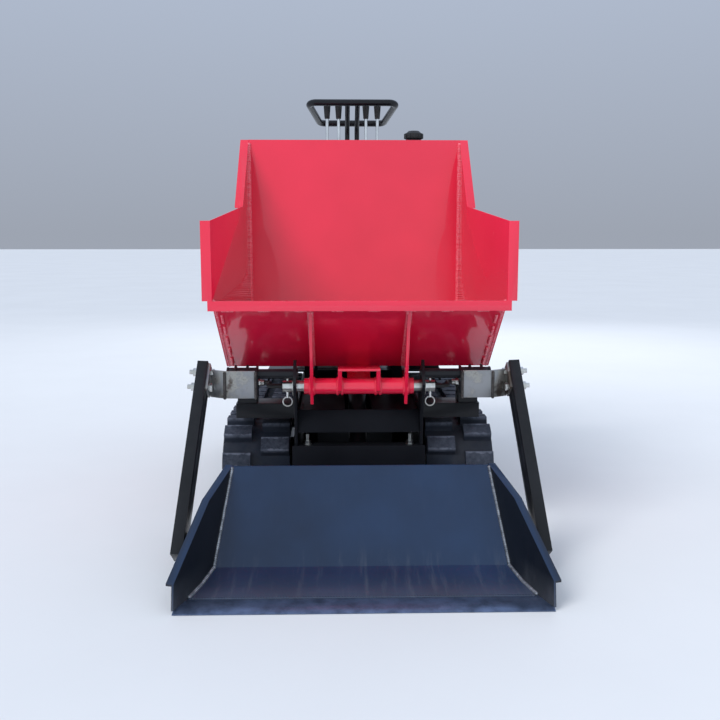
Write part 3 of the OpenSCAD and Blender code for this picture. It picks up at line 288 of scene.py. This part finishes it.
def makeTrackRubber(name):
    finish = Finish(name, Specular_IOR_Level=0.35)
    y, z = finish.axes()[1:]
    along = y - y.most(trackRubber["front"]).least(trackRubber["back"])  # zero between the axles
    rise = z - trackRubber["axle"]
    radius = (along * along + rise * rise) ** 0.5
    proud = radius - trackRubber["belt"]
    speckle = finish.noise(*trackRubber["speckle"])
    patch = finish.noise(*trackRubber["patch"])
    top = finish.ramp(proud / trackRubber["lug"], *trackRubber["topSpan"])
    scuffed = speckle * trackRubber["speckleShare"] + patch * trackRubber["patchShare"]
    worn = top * finish.ramp(scuffed, *trackRubber["wornSpan"])
    wrap = abs(along)
    swing = wrap.calc("ARCTAN2", wrap, rise)
    travel = y - along - trackRubber["front"] + swing * trackRubber["pitchRadius"]  # way round the belt
    fromLug = abs(travel.calc("MODULO", travel, trackRubber["step"]) - trackRubber["step"] / 2)
    fromLug = fromLug * (1 + (radius / trackRubber["pitchRadius"] - 1) * (wrap > trackRubber["bent"]))
    ragged = finish.noise(*trackRubber["ragged"])
    torn = fromLug / trackRubber["lugReach"] + (ragged - trackRubber["raggedMid"]) * trackRubber["raggedShare"]
    patchy = finish.ramp(ragged, *trackRubber["patchySpan"]) * trackRubber["chipMore"]
    chipped = top * finish.ramp(torn, *trackRubber["chipSpan"]) * (trackRubber["chipLeast"] + patchy)
    deep = 1 - finish.ramp((proud + trackRubber["grooveLow"]) / trackRubber["grooveDeep"], 0.0, 1.0)
    groove = deep * finish.ramp(patch, *trackRubber["grooveSpan"])
    colour = finish.mix(worn * trackRubber["wornColour"], trackRubber["rubber"], trackRubber["worn"])
    colour = finish.mix(chipped * trackRubber["chipColour"], colour, trackRubber["chip"])
    finish.feed("Base Color", finish.mix(groove * trackRubber["dustColour"], colour, trackRubber["dust"]))
    finish.feed("Roughness", trackRubber["rough"] + speckle * trackRubber["speckleRough"])
    finish.bump(speckle + finish.noise(*trackRubber["pores"]) * trackRubber["poreShare"], *trackRubber["bump"])
    return finish.material


plasticLook = {"cloud": (8.0, 3.0), "cloudSpan": (0.3, 0.75), "paler": 1.7, "lift": 0.004, "cloudRough": 0.15,
               "grain": (420.0, 2.0), "bump": (0.18, 0.0008)}


def makePlastic(name, colour, rough):
    finish = Finish(name, Specular_IOR_Level=0.45)
    cloud = finish.noise(*plasticLook["cloud"])
    paler = tuple(c * plasticLook["paler"] + plasticLook["lift"] for c in colour)
    finish.feed("Base Color", finish.mix(finish.ramp(cloud, *plasticLook["cloudSpan"]), colour, paler))
    finish.feed("Roughness", rough + cloud * plasticLook["cloudRough"])
    finish.bump(finish.noise(*plasticLook["grain"]), *plasticLook["bump"])
    return finish.material


skipRed = makeRedPaint("skipRed", 1.0, 0.2)
# hingeRed is the skip's red made lighter, a lit copy that stands in for the light on the round hinge tube
hingeRed = makeRedPaint("hingeRed", 1.06, 0.1)
# weldRed is the red made a little lighter, with painted highlights on the crests of the beads
weldRed = makeRedPaint("weldRed", 1.05, 0.1, 0.7)
engineRed = makeRedPaint("engineRed", 0.8, 0.0)
chassisBlack = makeBlackPaint("chassisBlack", 0.12)
bayBlack = makeBlackPaint("bayBlack", 0.02, 0.75, 0.0)
panelBlack = makeBlackPaint("panelBlack", 0.03, 0.34, 0.0)
armBlack = makeBlackPaint("armBlack", 0.06, 0.26)
tubeBlack = makeBlackPaint("tubeBlack", 0.05, 0.22)
shovelBlack = makeShovelPaint("shovelBlack")
bracketSteel = makeBareSteel("bracketSteel")
zincPlate = makeMetal("zincPlate", (0.74, 0.74, 0.72), (0.52, 0.51, 0.46), 0.22)
chromeRod = makeMetal("chromeRod", (0.80, 0.81, 0.82), (0.62, 0.63, 0.65), 0.08, 40.0, 1.0, 0.02)
castIron = makeMetal("castIron", (0.045, 0.046, 0.05), (0.022, 0.023, 0.026), 0.42, 70.0, 0.35, 0.3)
engineAlloy = makeMetal("engineAlloy", (0.56, 0.57, 0.58), (0.36, 0.36, 0.36), 0.36, 45.0, 0.85, 0.25)
# edgeSteel is worn steel whose blue tint is a painted reflection of the blue sky, as on the shovel
edgeSteel = makeMetal("edgeSteel", (0.14, 0.19, 0.32), (0.06, 0.085, 0.145), 0.28, 30.0, 0.7, 0.15)
weldBright = makeMetal("weldBright", (0.46, 0.48, 0.52), (0.14, 0.15, 0.17), 0.3, 90.0, 0.85, 0.2)
weldDark = makeMetal("weldDark", (0.11, 0.10, 0.095), (0.045, 0.042, 0.042), 0.45, 90.0, 0.7, 0.25)
rubberTrack = makeTrackRubber("rubberTrack")
hoseRubber = makePlastic("hoseRubber", (0.014, 0.014, 0.015), 0.5)
gripPlastic = makePlastic("gripPlastic", (0.012, 0.012, 0.013), 0.42)
print("finishes made")

finishOf = {"skip_tub": skipRed, "hinge_frame": hingeRed, "engine_shroud": engineRed, "fuel_tank": engineRed,
            "shovel": shovelBlack, "belly_plate": bayBlack, "front_panel": panelBlack,
            "front_channel": panelBlack, "cutting_edge": edgeSteel, "engine_block": engineAlloy,
            "muffler": castIron, "valve_block": castIron, "air_cleaner": gripPlastic, "oil_cap": gripPlastic,
            "lift_hoses": hoseRubber, "hinge_pin": zincPlate, "front_studs": zincPlate, "arm_bolts": zincPlate,
            "handle": tubeBlack, "tip_ram_rod": chromeRod}
finishStart = {"lift_bracket": bracketSteel, "lift_rod": chromeRod, "lever_": chromeRod, "grip_": gripPlastic,
               "track_belt": rubberTrack, "sprocket": castIron, "idler": castIron, "roller": castIron,
               "track_motor": castIron, "lift_arm": armBlack, "lift_crank": armBlack}


def finishFor(name):
    if name in finishOf:
        return finishOf[name]
    for start, finish in finishStart.items():
        if name.startswith(start):
            return finish
    return chassisBlack


def dress(piece, finish):
    piece.data.materials.clear()
    piece.data.materials.append(finish)


for name, node in nodes.items():
    dress(node, finishFor(name))
print("CAD nodes dressed")


def at(x, back, up):
    # millimetres from the front of the tracks and the ground, as in the part's source
    return Vector((x / 1000, back / 1000 + backShift, up / 1000))


def joinAll(pieces, name):
    deselectAll()
    for piece in pieces:
        piece.select_set(True)
    joined = pieces[0]
    bpy.context.view_layer.objects.active = joined
    if len(pieces) > 1:
        bpy.ops.object.join()
    joined.name = name
    joined.data.name = name
    return joined


def finishGroup(pieces, name, finish, bodyName):
    piece = joinAll(pieces, name)
    dress(piece, finish)
    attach(piece, bodyName)


def addModifier(piece, kind, **settings):
    makeActive(piece)
    made = piece.modifiers.new(kind.lower(), kind)
    for key, value in settings.items():
        setattr(made, key, value)
    bpy.ops.object.modifier_apply(modifier=made.name)


easing = {"merge": 0.00002, "flat": 1.0, "segments": 2, "sharp": 40, "smooth": 32}


def easedCopy(nodeName, pieceName, bodyName, width):
    # a copy of a CAD node with its folded and cut edges eased
    piece = bpy.data.objects.new(pieceName, nodes[nodeName].data.copy())
    piece.data.name = pieceName
    bpy.context.scene.collection.objects.link(piece)
    makeActive(piece)
    bpy.ops.object.mode_set(mode="EDIT")
    bpy.ops.mesh.select_all(action="SELECT")
    bpy.ops.mesh.remove_doubles(threshold=easing["merge"])
    bpy.ops.mesh.dissolve_limited(angle_limit=math.radians(easing["flat"]))
    bpy.ops.object.mode_set(mode="OBJECT")
    addModifier(piece, "BEVEL", width=width, segments=easing["segments"], limit_method="ANGLE",
                angle_limit=math.radians(easing["sharp"]), harden_normals=False, use_clamp_overlap=True)
    bpy.ops.object.shade_smooth_by_angle(angle=math.radians(easing["smooth"]))
    dress(piece, finishFor(nodeName))
    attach(piece, bodyName)
    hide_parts(nodeName)


# piece, body and width of the easing in metres
eased = {"skip_tub": ("skipTub", "skip", 0.0012), "hinge_frame": ("hingeFrame", "skip", 0.001),
         "shovel": ("shovelPan", "loader", 0.0015), "cutting_edge": ("cuttingBlade", "loader", 0.0012),
         "lift_arm_left": ("armLeft", "loader", 0.004), "lift_arm_right": ("armRight", "loader", 0.004),
         "lift_bracket_left": ("bracketLeft", "loader", 0.0012),
         "lift_bracket_right": ("bracketRight", "loader", 0.0012),
         "front_channel": ("frontChannel", "chassis", 0.0012), "front_panel": ("frontPanel", "chassis", 0.0012),
         "track_belt_left": ("trackBeltLeft", "chassis", 0.0022),
         "track_belt_right": ("trackBeltRight", "chassis", 0.0022),
         "console": ("consoleColumn", "chassis", 0.002), "oil_tank": ("oilTank", "chassis", 0.004),
         "engine_deck": ("engineDeck", "chassis", 0.0015), "fuel_tank": ("fuelTank", "chassis", 0.006),
         "muffler": ("mufflerCan", "chassis", 0.004), "engine_shroud": ("engineShroud", "chassis", 0.0025),
         "engine_block": ("engineBlock", "chassis", 0.0015), "air_cleaner": ("airCleaner", "chassis", 0.002),
         "valve_block": ("valveBlock", "chassis", 0.0012), "oil_cap": ("oilCap", "oil_cap", 0.001),
         "side_plate_left": ("sidePlateLeft", "chassis", 0.001),
         "side_plate_right": ("sidePlateRight", "chassis", 0.001),
         "lift_crank_left": ("crankLeft", "loader", 0.001), "lift_crank_right": ("crankRight", "loader", 0.001)}
for k in (1, 2, 3, 4):
    eased[f"grip_{k}"] = (f"grip{k}", f"lever_{k}", 0.003)
for nodeName, (pieceName, bodyName, width) in eased.items():
    easedCopy(nodeName, pieceName, bodyName, width)
print("edges eased on", len(eased), "pieces")

weldScale = {"segments": 10, "rings": 6, "overlap": 0.95, "heap": 0.36, "ringHeap": 0.4}


def oneScale(width, pitch, heap, lift=0.0):
    # one scale of a weld that runs along Y, heaped towards Z
    deselectAll()
    bpy.ops.mesh.primitive_uv_sphere_add(segments=weldScale["segments"], ring_count=weldScale["rings"], radius=1)
    piece = bpy.context.object
    bpy.ops.object.mode_set(mode="EDIT")
    bpy.ops.mesh.select_all(action="SELECT")
    bpy.ops.transform.resize(value=(width / 2, pitch * weldScale["overlap"], width * heap))
    if lift:
        bpy.ops.transform.translate(value=(0, 0, lift))
    bpy.ops.object.mode_set(mode="OBJECT")
    return piece


def weldRun(start, end, up, width, pitch):
    # overlapping scales of one weld, from start to end, heaped towards up
    along = end - start
    count = max(2, round(along.length / pitch))
    piece = oneScale(width, pitch, weldScale["heap"])
    addModifier(piece, "ARRAY", count=count, use_relative_offset=False, use_constant_offset=True,
                constant_offset_displace=(0, along.length / count, 0))
    bpy.ops.object.shade_smooth()
    ahead = along.normalized()
    side = ahead.cross(up).normalized()
    turn = Matrix((side, ahead, side.cross(ahead))).transposed().to_4x4()
    piece.matrix_world = Matrix.Translation(start) @ turn
    makeActive(piece)
    bpy.ops.object.transform_apply(location=True, rotation=True, scale=True)
    return piece


def sideRun(side, seam, width, pitch):
    # a seam is start, end and heap, given for the +X side; side -1 mirrors it
    start, end, up = ((side * x, y, z) for x, y, z in seam)
    return weldRun(at(*start), at(*end), Vector(up), width, pitch)


# weld sizes are width and pitch in metres, places are millimetres as in at()
skipWeld = {"size": (0.015, 0.007), "fineSize": (0.008, 0.004), "lipSize": (0.009, 0.0045),
            "seams": (((330.5, 548.5, 440), (330.5, 548.5, 1062), (-1, -1, 0)),
                      ((352, -160, 617), (345.5, 52, 433.5), (-1, 0.2, 1)),
                      ((345.5, 56, 433.5), (330.5, 545, 433.5), (-1, 0, 1))),
            "gussetSeams": (((116.5, -136, 588.5), (116.5, 46, 430), (-1, -0.6, -0.6)),
                            ((125.5, -136, 588.5), (125.5, 46, 430), (1, -0.6, -0.6))),
            "edge": ((333, 45, 430), (338, -136, 588.5)), "edgeOut": 0.3, "edgeDown": (-0.6, -0.7),
            "edgeStitches": 5, "edgePart": (0.15, 0.8), "lip": (330, -167, 596), "stitch": 28, "stitchStep": 88}


def skipWelds():
    runs = []
    for side in bothSides:
        runs += [sideRun(side, seam, *skipWeld["size"]) for seam in skipWeld["seams"]]
        runs += [sideRun(side, seam, *skipWeld["fineSize"]) for seam in skipWeld["gussetSeams"]]
        low, high = (at(side * x, back, up) for x, back, up in skipWeld["edge"])
        heap = Vector((side * skipWeld["edgeOut"], *skipWeld["edgeDown"]))
        share = 1 / skipWeld["edgeStitches"]
        for k in range(skipWeld["edgeStitches"]):
            start, end = (low.lerp(high, (k + part) * share) for part in skipWeld["edgePart"])
            runs.append(weldRun(start, end, heap, *skipWeld["fineSize"]))
    reach, back, up = skipWeld["lip"]
    for x in range(-reach, reach, skipWeld["stitchStep"]):
        runs.append(weldRun(at(x, back, up), at(x + skipWeld["stitch"], back, up), -upward, *skipWeld["lipSize"]))
    finishGroup(runs, "skipWelds", weldRed, "skip")


shovelWeld = {"size": (0.010, 0.005), "lean": math.tan(math.radians(17)), "half": 338, "bend": -358, "inset": 1.5,
              "seams": (((-253, 230), (-359.5, 30), (-1, -0.6, 0.4)), ((-360, 29), (-421, 14.5), (-1, 0, 1)),
                        ((-422, 14.5), (-484, 9.5), (-1, 0, 1))),
              "blade": (372, -485, 8), "bladeSize": (0.007, 0.006)}


def innerFace(back, up):
    # on the inside of the shovel's flared side
    return shovelWeld["half"] + (shovelWeld["bend"] - back) * shovelWeld["lean"] - shovelWeld["inset"], back, up


def shovelWelds():
    runs = [sideRun(side, (innerFace(*start), innerFace(*end), heap), *shovelWeld["size"])
            for side in bothSides for start, end, heap in shovelWeld["seams"]]
    finishGroup(runs, "shovelWelds", weldBright, "loader")
    half, back, up = shovelWeld["blade"]
    seam = weldRun(at(-half, back, up), at(half, back, up), upward, *shovelWeld["bladeSize"])
    finishGroup([seam], "bladeSeam", shovelBlack, "loader")


skipWelds()
shovelWelds()
print("welds laid")


def copiesOf(master, spots):
    # a copy of one modelled piece at each (place, axis); the master goes
    made = []
    for place, axis in spots:
        piece = bpy.data.objects.new(master.name, master.data.copy())
        bpy.context.scene.collection.objects.link(piece)
        piece.matrix_world = Matrix.Translation(place) @ axis.to_track_quat("Z", "Y").to_matrix().to_4x4()
        makeActive(piece)
        bpy.ops.object.transform_apply(location=True, rotation=True, scale=True)
        made.append(piece)
    makeActive(master)
    bpy.ops.object.delete()
    return made


boltShape = {"lift": 0.0016, "chamfer": 0.06, "washerSides": 28, "washerThick": 0.0018, "washerMid": 0.0008,
             "washerRound": 0.0004, "segments": 2, "sharp": 50, "smooth": 32}


def hexHead(size):
    # a hexagon bolt head on a washer, chamfered, pointing along Z
    across, height = size["across"], size["height"]
    edges = {"segments": boltShape["segments"], "limit_method": "ANGLE",
             "angle_limit": math.radians(boltShape["sharp"])}
    deselectAll()
    bpy.ops.mesh.primitive_cylinder_add(vertices=6, radius=across / 2 / math.cos(math.pi / 6), depth=height)
    head = bpy.context.object
    bpy.ops.object.mode_set(mode="EDIT")
    bpy.ops.mesh.select_all(action="SELECT")
    bpy.ops.transform.translate(value=(0, 0, height / 2 + boltShape["lift"]))
    bpy.ops.object.mode_set(mode="OBJECT")
    addModifier(head, "BEVEL", width=across * boltShape["chamfer"], **edges)
    deselectAll()
    bpy.ops.mesh.primitive_cylinder_add(vertices=boltShape["washerSides"], radius=size["washer"] / 2,
                                        depth=boltShape["washerThick"], location=(0, 0, boltShape["washerMid"]))
    ring = bpy.context.object
    addModifier(ring, "BEVEL", width=boltShape["washerRound"], **edges)
    bolt = joinAll([head, ring], "boltHead")
    bpy.ops.object.shade_smooth_by_angle(angle=math.radians(boltShape["smooth"]))
    return bolt


turnedSmooth = 40  # degrees


def turned(profile, sides=28):
    # a turned piece along Z: each (radius, height) is a ring extruded from the last
    radius, height = profile[0]
    deselectAll()
    bpy.ops.mesh.primitive_circle_add(vertices=sides, radius=radius, fill_type="NGON", location=(0, 0, height))
    piece = bpy.context.object
    bpy.ops.object.transform_apply(location=True, rotation=True, scale=True)
    bpy.ops.object.mode_set(mode="EDIT")
    bpy.ops.mesh.select_all(action="SELECT")
    for nextRadius, nextHeight in profile[1:]:
        bpy.ops.mesh.extrude_region_move(TRANSFORM_OT_translate={"value": (0, 0, nextHeight - height)})
        grow = nextRadius / radius
        bpy.ops.transform.resize(value=(grow, grow, 1), center_override=(0, 0, nextHeight))
        radius, height = nextRadius, nextHeight
    bpy.ops.mesh.select_all(action="SELECT")
    bpy.ops.mesh.normals_make_consistent(inside=False)
    bpy.ops.object.mode_set(mode="OBJECT")
    bpy.ops.object.shade_smooth_by_angle(angle=math.radians(turnedSmooth))
    return piece


wheelBolt = {"count": 6, "circle": 50, "across": 0.017, "height": 0.009, "washer": 0.024,
             "axle": (927.132, 135.132), "face": 318}
axleBack, axleUp = wheelBolt["axle"]
for side, ending in ((-1, "left"), (1, "right")):
    spots = []
    for k in range(wheelBolt["count"]):
        turn = math.radians(360 / wheelBolt["count"] * k)
        back = axleBack - wheelBolt["circle"] * math.sin(turn)
        up = axleUp + wheelBolt["circle"] * math.cos(turn)
        spots.append((at(side * wheelBolt["face"], back, up), Vector((side, 0, 0))))
    finishGroup(copiesOf(hexHead(wheelBolt), spots), "sprocketBolts" + ending.title(), zincPlate,
                "sprocket_" + ending)
print("sprocket bolts set")


def weldRing(centre, size):
    # overlapping scales around a tube that lies along X
    count = round(2 * math.pi * size["radius"] / size["pitch"])
    piece = oneScale(size["width"], size["pitch"], weldScale["ringHeap"], size["radius"])
    bpy.ops.object.empty_add()
    step = bpy.context.object
    step.rotation_euler = (2 * math.pi / count, 0, 0)
    bpy.context.view_layer.update()
    addModifier(piece, "ARRAY", count=count, use_relative_offset=False, use_object_offset=True, offset_object=step)
    makeActive(step)
    bpy.ops.object.delete()
    makeActive(piece)
    piece.location = centre
    bpy.ops.object.transform_apply(location=True, rotation=True, scale=True)
    bpy.ops.object.shade_smooth()
    return piece


hingeWeld = {"radius": 0.0212, "width": 0.007, "pitch": 0.0035, "axis": (-40, 390),
             "places": (-126, -116, -55, -43, 43, 55, 116, 126)}
rings = [weldRing(at(x, *hingeWeld["axis"]), hingeWeld) for x in hingeWeld["places"]]
finishGroup(rings, "hingeWelds", hingeRed, "skip")

bracketWeld = {"size": (0.008, 0.004), "seams": (((262.5, -81, 367), (262.5, -81, 435), (-1, -1, 0)),
                                                 ((340.5, -81, 367), (340.5, -81, 435), (0, -1, 0)))}
runs = [sideRun(side, seam, *bracketWeld["size"]) for side in bothSides for seam in bracketWeld["seams"]]
finishGroup(runs, "bracketWelds", weldDark, "loader")
print("hinge and bracket welds laid")

hoseEnd = {"across": 0.020, "height": 0.009, "washer": 0.026, "ferrule": 0.0085, "level": 384.42,
           "root": (166.5, -6), "rootNut": 0.0105, "port": (272.5, 52), "portNut": 0.010, "crimps": 7,
           "crimpStep": 0.003, "waist": 0.9, "mouth": 0.8, "mouthAt": 0.0225,
           "short": ((1, 0.0), (1, 0.004), (0.88, 0.005), (1, 0.006), (1, 0.010), (0.8, 0.011))}
rootX, rootBack = hoseEnd["root"]
portX, portBack = hoseEnd["port"]
rootSpots = [(at(side * rootX, rootBack, hoseEnd["level"]), Vector((side, 0, 0))) for side in bothSides]
portSpots = [(at(side * portX, portBack, hoseEnd["level"]), Vector((-side, 0, 0))) for side in bothSides]
wide = hoseEnd["ferrule"]
crimped = [(wide, 0.0)]
for k in range(1, hoseEnd["crimps"] + 1):
    crimped.append((wide if k % 2 else wide * hoseEnd["waist"], hoseEnd["crimpStep"] * k))
crimped.append((wide * hoseEnd["mouth"], hoseEnd["mouthAt"]))
short = [(wide * share, height) for share, height in hoseEnd["short"]]
fittings = copiesOf(hexHead(hoseEnd), rootSpots + portSpots)
fittings += copiesOf(turned(crimped), [(place + axis * hoseEnd["rootNut"], axis) for place, axis in rootSpots])
fittings += copiesOf(turned(short), [(place + axis * hoseEnd["portNut"], axis) for place, axis in portSpots])
finishGroup(fittings, "hoseFittings", zincPlate, "chassis")
print("hose fittings set")

plateBolt = {"across": 0.016, "height": 0.007, "washer": 0.022, "console": (130, (926, 1004), 343.6),
             "deck": (284.6, (610, 770, 930), 317), "spools": ((-90, -49, 49, 90), 930.4, 979)}
footX, footBacks, footUp = plateBolt["console"]
deckX, deckBacks, deckUp = plateBolt["deck"]
spoolPlaces, spoolBack, spoolUp = plateBolt["spools"]
boltSpots = {"consoleBolts": [(at(side * footX, back, footUp), upward) for side in bothSides for back in footBacks],
             "deckBolts": [(at(side * deckX, back, deckUp), Vector((side, 0, 0)))
                           for side in bothSides for back in deckBacks],
             "spoolPlugs": [(at(x, spoolBack, spoolUp), forward) for x in spoolPlaces]}
for name, spots in boltSpots.items():
    finishGroup(copiesOf(hexHead(plateBolt), spots), name, zincPlate, "chassis")
axleBolt = {"across": 0.024, "height": 0.008, "washer": 0.034, "face": 346.8,
            "axles": ((135.132, 135.132), (333.15, 78.4), (531.15, 78.4), (729.15, 78.4))}
spots = [(at(side * axleBolt["face"], back, up), Vector((side, 0, 0)))
         for side in bothSides for back, up in axleBolt["axles"]]
finishGroup(copiesOf(hexHead(axleBolt), spots), "axleBolts", zincPlate, "chassis")
print("deck, console, valve and axle bolts set")

enginePiece = {"pull": [(0.004, 0.0), (0.0075, 0.003), (0.009, 0.012), (0.0075, 0.026), (0.009, 0.040),
                        (0.0075, 0.049), (0.004, 0.052)],
               "pullAt": (101, 646, 480), "pullLean": (0, 0.25, 1),
               "wing": [(0.003, 0.0), (0.007, 0.004), (0.0085, 0.010), (0.006, 0.016), (0.002, 0.018)],
               "wingAt": (59, 838, 640), "wingOut": 4, "wingRise": 0.5, "wingSides": 16,
               "boot": [(0.008, 0.0), (0.008, 0.012), (0.0055, 0.013), (0.0055, 0.022), (0.009, 0.023),
                        (0.010, 0.046), (0.007, 0.050)],
               "bootAt": (-70, 853, 530.5), "bootLean": (0, 0.906, 0.423)}
pullSpot = (at(*enginePiece["pullAt"]), Vector(enginePiece["pullLean"]).normalized())
finishGroup(copiesOf(turned(enginePiece["pull"]), [pullSpot]), "starterPull", gripPlastic, "chassis")
wingX, wingBack, wingUp = enginePiece["wingAt"]
wingSpots = [(at(wingX + side * enginePiece["wingOut"], wingBack, wingUp),
              Vector((side, 0, enginePiece["wingRise"])).normalized()) for side in bothSides]
wings = copiesOf(turned(enginePiece["wing"], enginePiece["wingSides"]), wingSpots)
finishGroup(wings, "wingNut", zincPlate, "chassis")
bootSpot = (at(*enginePiece["bootAt"]), Vector(enginePiece["bootLean"]))
finishGroup(copiesOf(turned(enginePiece["boot"]), [bootSpot]), "sparkPlugBoot", gripPlastic, "chassis")
print("engine fittings set")

panel = {"height": 800, "foot": (1012, 336), "slope": 0.03526, "out": Vector((0, 1, -0.035)).normalized(),
         "meterAt": -58, "meterSides": 40, "keyAt": 58, "keyProud": 7, "stopAt": 0, "stopSides": 36,
         "meter": [(0.024, -0.001), (0.024, 0.005), (0.022, 0.007), (0.0195, 0.007), (0.0190, 0.004),
                   (0.006, 0.0038)],
         "lock": [(0.014, -0.001), (0.014, 0.004), (0.0115, 0.006), (0.0115, 0.009), (0.006, 0.0095)],
         "key": [(0.0040, 0.0), (0.0040, 0.006), (0.0085, 0.007), (0.0085, 0.017), (0.005, 0.019)],
         "stop": [(0.016, -0.001), (0.016, 0.004), (0.0105, 0.005), (0.0105, 0.014), (0.019, 0.016),
                  (0.0205, 0.020), (0.0175, 0.026), (0.009, 0.028)]}


def panelSpot(x, proud=0):
    # on the console's leaning rear face
    footBack, footUp = panel["foot"]
    back = footBack + (panel["height"] - footUp) * panel["slope"] + proud
    return at(x, back, panel["height"]), panel["out"]


meter = copiesOf(turned(panel["meter"], panel["meterSides"]), [panelSpot(panel["meterAt"])])
finishGroup(meter, "hourMeter", gripPlastic, "chassis")
keySwitch = copiesOf(turned(panel["lock"]), [panelSpot(panel["keyAt"])])
keySwitch += copiesOf(turned(panel["key"]), [panelSpot(panel["keyAt"], panel["keyProud"])])
finishGroup(keySwitch, "keySwitch", zincPlate, "chassis")
stop = copiesOf(turned(panel["stop"], panel["stopSides"]), [panelSpot(panel["stopAt"])])
finishGroup(stop, "stopButton", engineRed, "chassis")

columnWeld = {"size": (0.009, 0.0045), "fineSize": (0.007, 0.0035),
              "columnSide": ((120.5, 919, 344.5), (120.5, 1012, 344.5), (1, 0, 1)),
              "columnEnds": (((-120, 919, 344.5), (120, 919, 344.5), (0, -1, 1)),
                             ((-120, 1012.6, 344.5), (120, 1012.6, 344.5), (0, 1, 1))),
              "tankFeet": (((118, 577, 336.5), (118, 689, 336.5), (-1, 0, 1)),
                           ((278, 577, 336.5), (278, 689, 336.5), (1, 0, 1))),
              "tankBack": (((118, 688, 340), (118, 688, 1070), (-1, 1, 0)),
                           ((278, 688, 340), (278, 688, 1070), (1, 1, 0)),
                           ((118, 688, 1071.5), (278, 688, 1071.5), (0, 1, 1)))}
runs = [sideRun(side, columnWeld["columnSide"], *columnWeld["size"]) for side in bothSides]
runs += [sideRun(1, seam, *columnWeld["size"]) for seam in columnWeld["columnEnds"] + columnWeld["tankFeet"]]
runs += [sideRun(1, seam, *columnWeld["fineSize"]) for seam in columnWeld["tankBack"]]
finishGroup(runs, "columnWelds", chassisBlack, "chassis")
print("console panel and column welds set")

stage = {"floor": (0.70, 0.715, 0.74), "shade": 0.96, "patch": (1.2, 5.0, 0.6), "patchSpan": (0.3, 0.7),
         "rough": 0.6, "patchRough": 0.2, "size": 80.0, "drop": 0.0004, "horizon": (0.40, 0.44, 0.52),
         "zenith": (0.66, 0.78, 1.0), "zenithAt": 0.6, "front": (0.78, 0.88, 1.0), "frontAt": 0.35,
         "strength": 0.85}


def setStage():
    deselectAll()
    bpy.ops.mesh.primitive_plane_add(size=stage["size"], location=(0, 0, -stage["drop"]))
    ground = bpy.context.object
    ground.name = "groundSheet"
    finish = Finish("paleGround", Specular_IOR_Level=0.2)
    patch = finish.noise(*stage["patch"])
    darker = tuple(c * stage["shade"] for c in stage["floor"])
    finish.feed("Base Color", finish.mix(finish.ramp(patch, *stage["patchSpan"]), stage["floor"], darker))
    finish.feed("Roughness", stage["rough"] + patch * stage["patchRough"])
    dress(ground, finish.material)
    world = bpy.data.worlds.new("paleRoom")
    bpy.context.scene.world = world
    world.use_nodes = True
    tree = world.node_tree
    background = tree.nodes["Background"]
    background.inputs["Strength"].default_value = stage["strength"]
    parts = tree.nodes.new("ShaderNodeSeparateXYZ")
    tree.links.new(tree.nodes.new("ShaderNodeTexCoord").outputs["Generated"], parts.inputs[0])
    fade = tree.nodes.new("ShaderNodeValToRGB")  # grey at the horizon, brighter and bluer overhead
    fade.color_ramp.elements[0].color = (*stage["horizon"], 1)
    fade.color_ramp.elements[1].color = (*stage["zenith"], 1)
    fade.color_ramp.elements[1].position = stage["zenithAt"]
    tree.links.new(parts.outputs[2], fade.inputs[0])
    side = tree.nodes.new("ShaderNodeMapRange")  # paler on the side that the machine faces
    side.inputs["From Min"].default_value = stage["frontAt"]
    side.inputs["From Max"].default_value = -stage["frontAt"]
    tree.links.new(parts.outputs[1], side.inputs["Value"])
    blend = tree.nodes.new("ShaderNodeMix")
    blend.data_type = "RGBA"
    blend.inputs[7].default_value = (*stage["front"], 1)
    tree.links.new(side.outputs[0], blend.inputs[0])
    tree.links.new(fade.outputs[0], blend.inputs[6])
    tree.links.new(blend.outputs[2], background.inputs["Color"])


# a lamp's spread is degrees for the sun and metres for an area
lamps = {"sky": {"kind": "SUN", "from": (-0.9, -1.0, 1.6), "spread": 30, "power": 1.9, "tint": (1.0, 0.98, 0.96)},
         "front": {"kind": "AREA", "from": (1.4, -5.0, 2.6), "spread": 4.0, "power": 50, "tint": (0.97, 0.98, 1.0)},
         "rear": {"kind": "AREA", "from": (0.8, 4.0, 3.0), "spread": 3.5, "power": 60, "tint": (1.0, 1.0, 1.0)}}
lampTarget = Vector((0, -0.1, 0.5))
for name, lamp in lamps.items():
    deselectAll()
    bpy.ops.object.light_add(type=lamp["kind"], location=lamp["from"])
    light = bpy.context.object
    light.name = name + "Lamp"
    light.data.energy = lamp["power"]
    light.data.color = lamp["tint"]
    light.visible_glossy = False
    if lamp["kind"] == "SUN":
        light.data.angle = math.radians(lamp["spread"])
    else:
        light.data.size = lamp["spread"]
    light.rotation_euler = (lampTarget - Vector(lamp["from"])).to_track_quat("-Z", "Y").to_euler()
setStage()

eye = {"x": -0.053, "y": -2.556, "z": 0.782, "down": 8.25, "turn": 1.43, "lens": 43.9, "sensor": 36}
deselectAll()
bpy.ops.object.camera_add(location=(eye["x"], eye["y"], eye["z"]),
                          rotation=(math.radians(90 - eye["down"]), 0, math.radians(-eye["turn"])))
camera = bpy.context.object
camera.data.lens = eye["lens"]
camera.data.sensor_width = eye["sensor"]
bpy.context.scene.camera = camera
bpy.context.scene.view_settings.view_transform = "Standard"
print("stage and camera set")
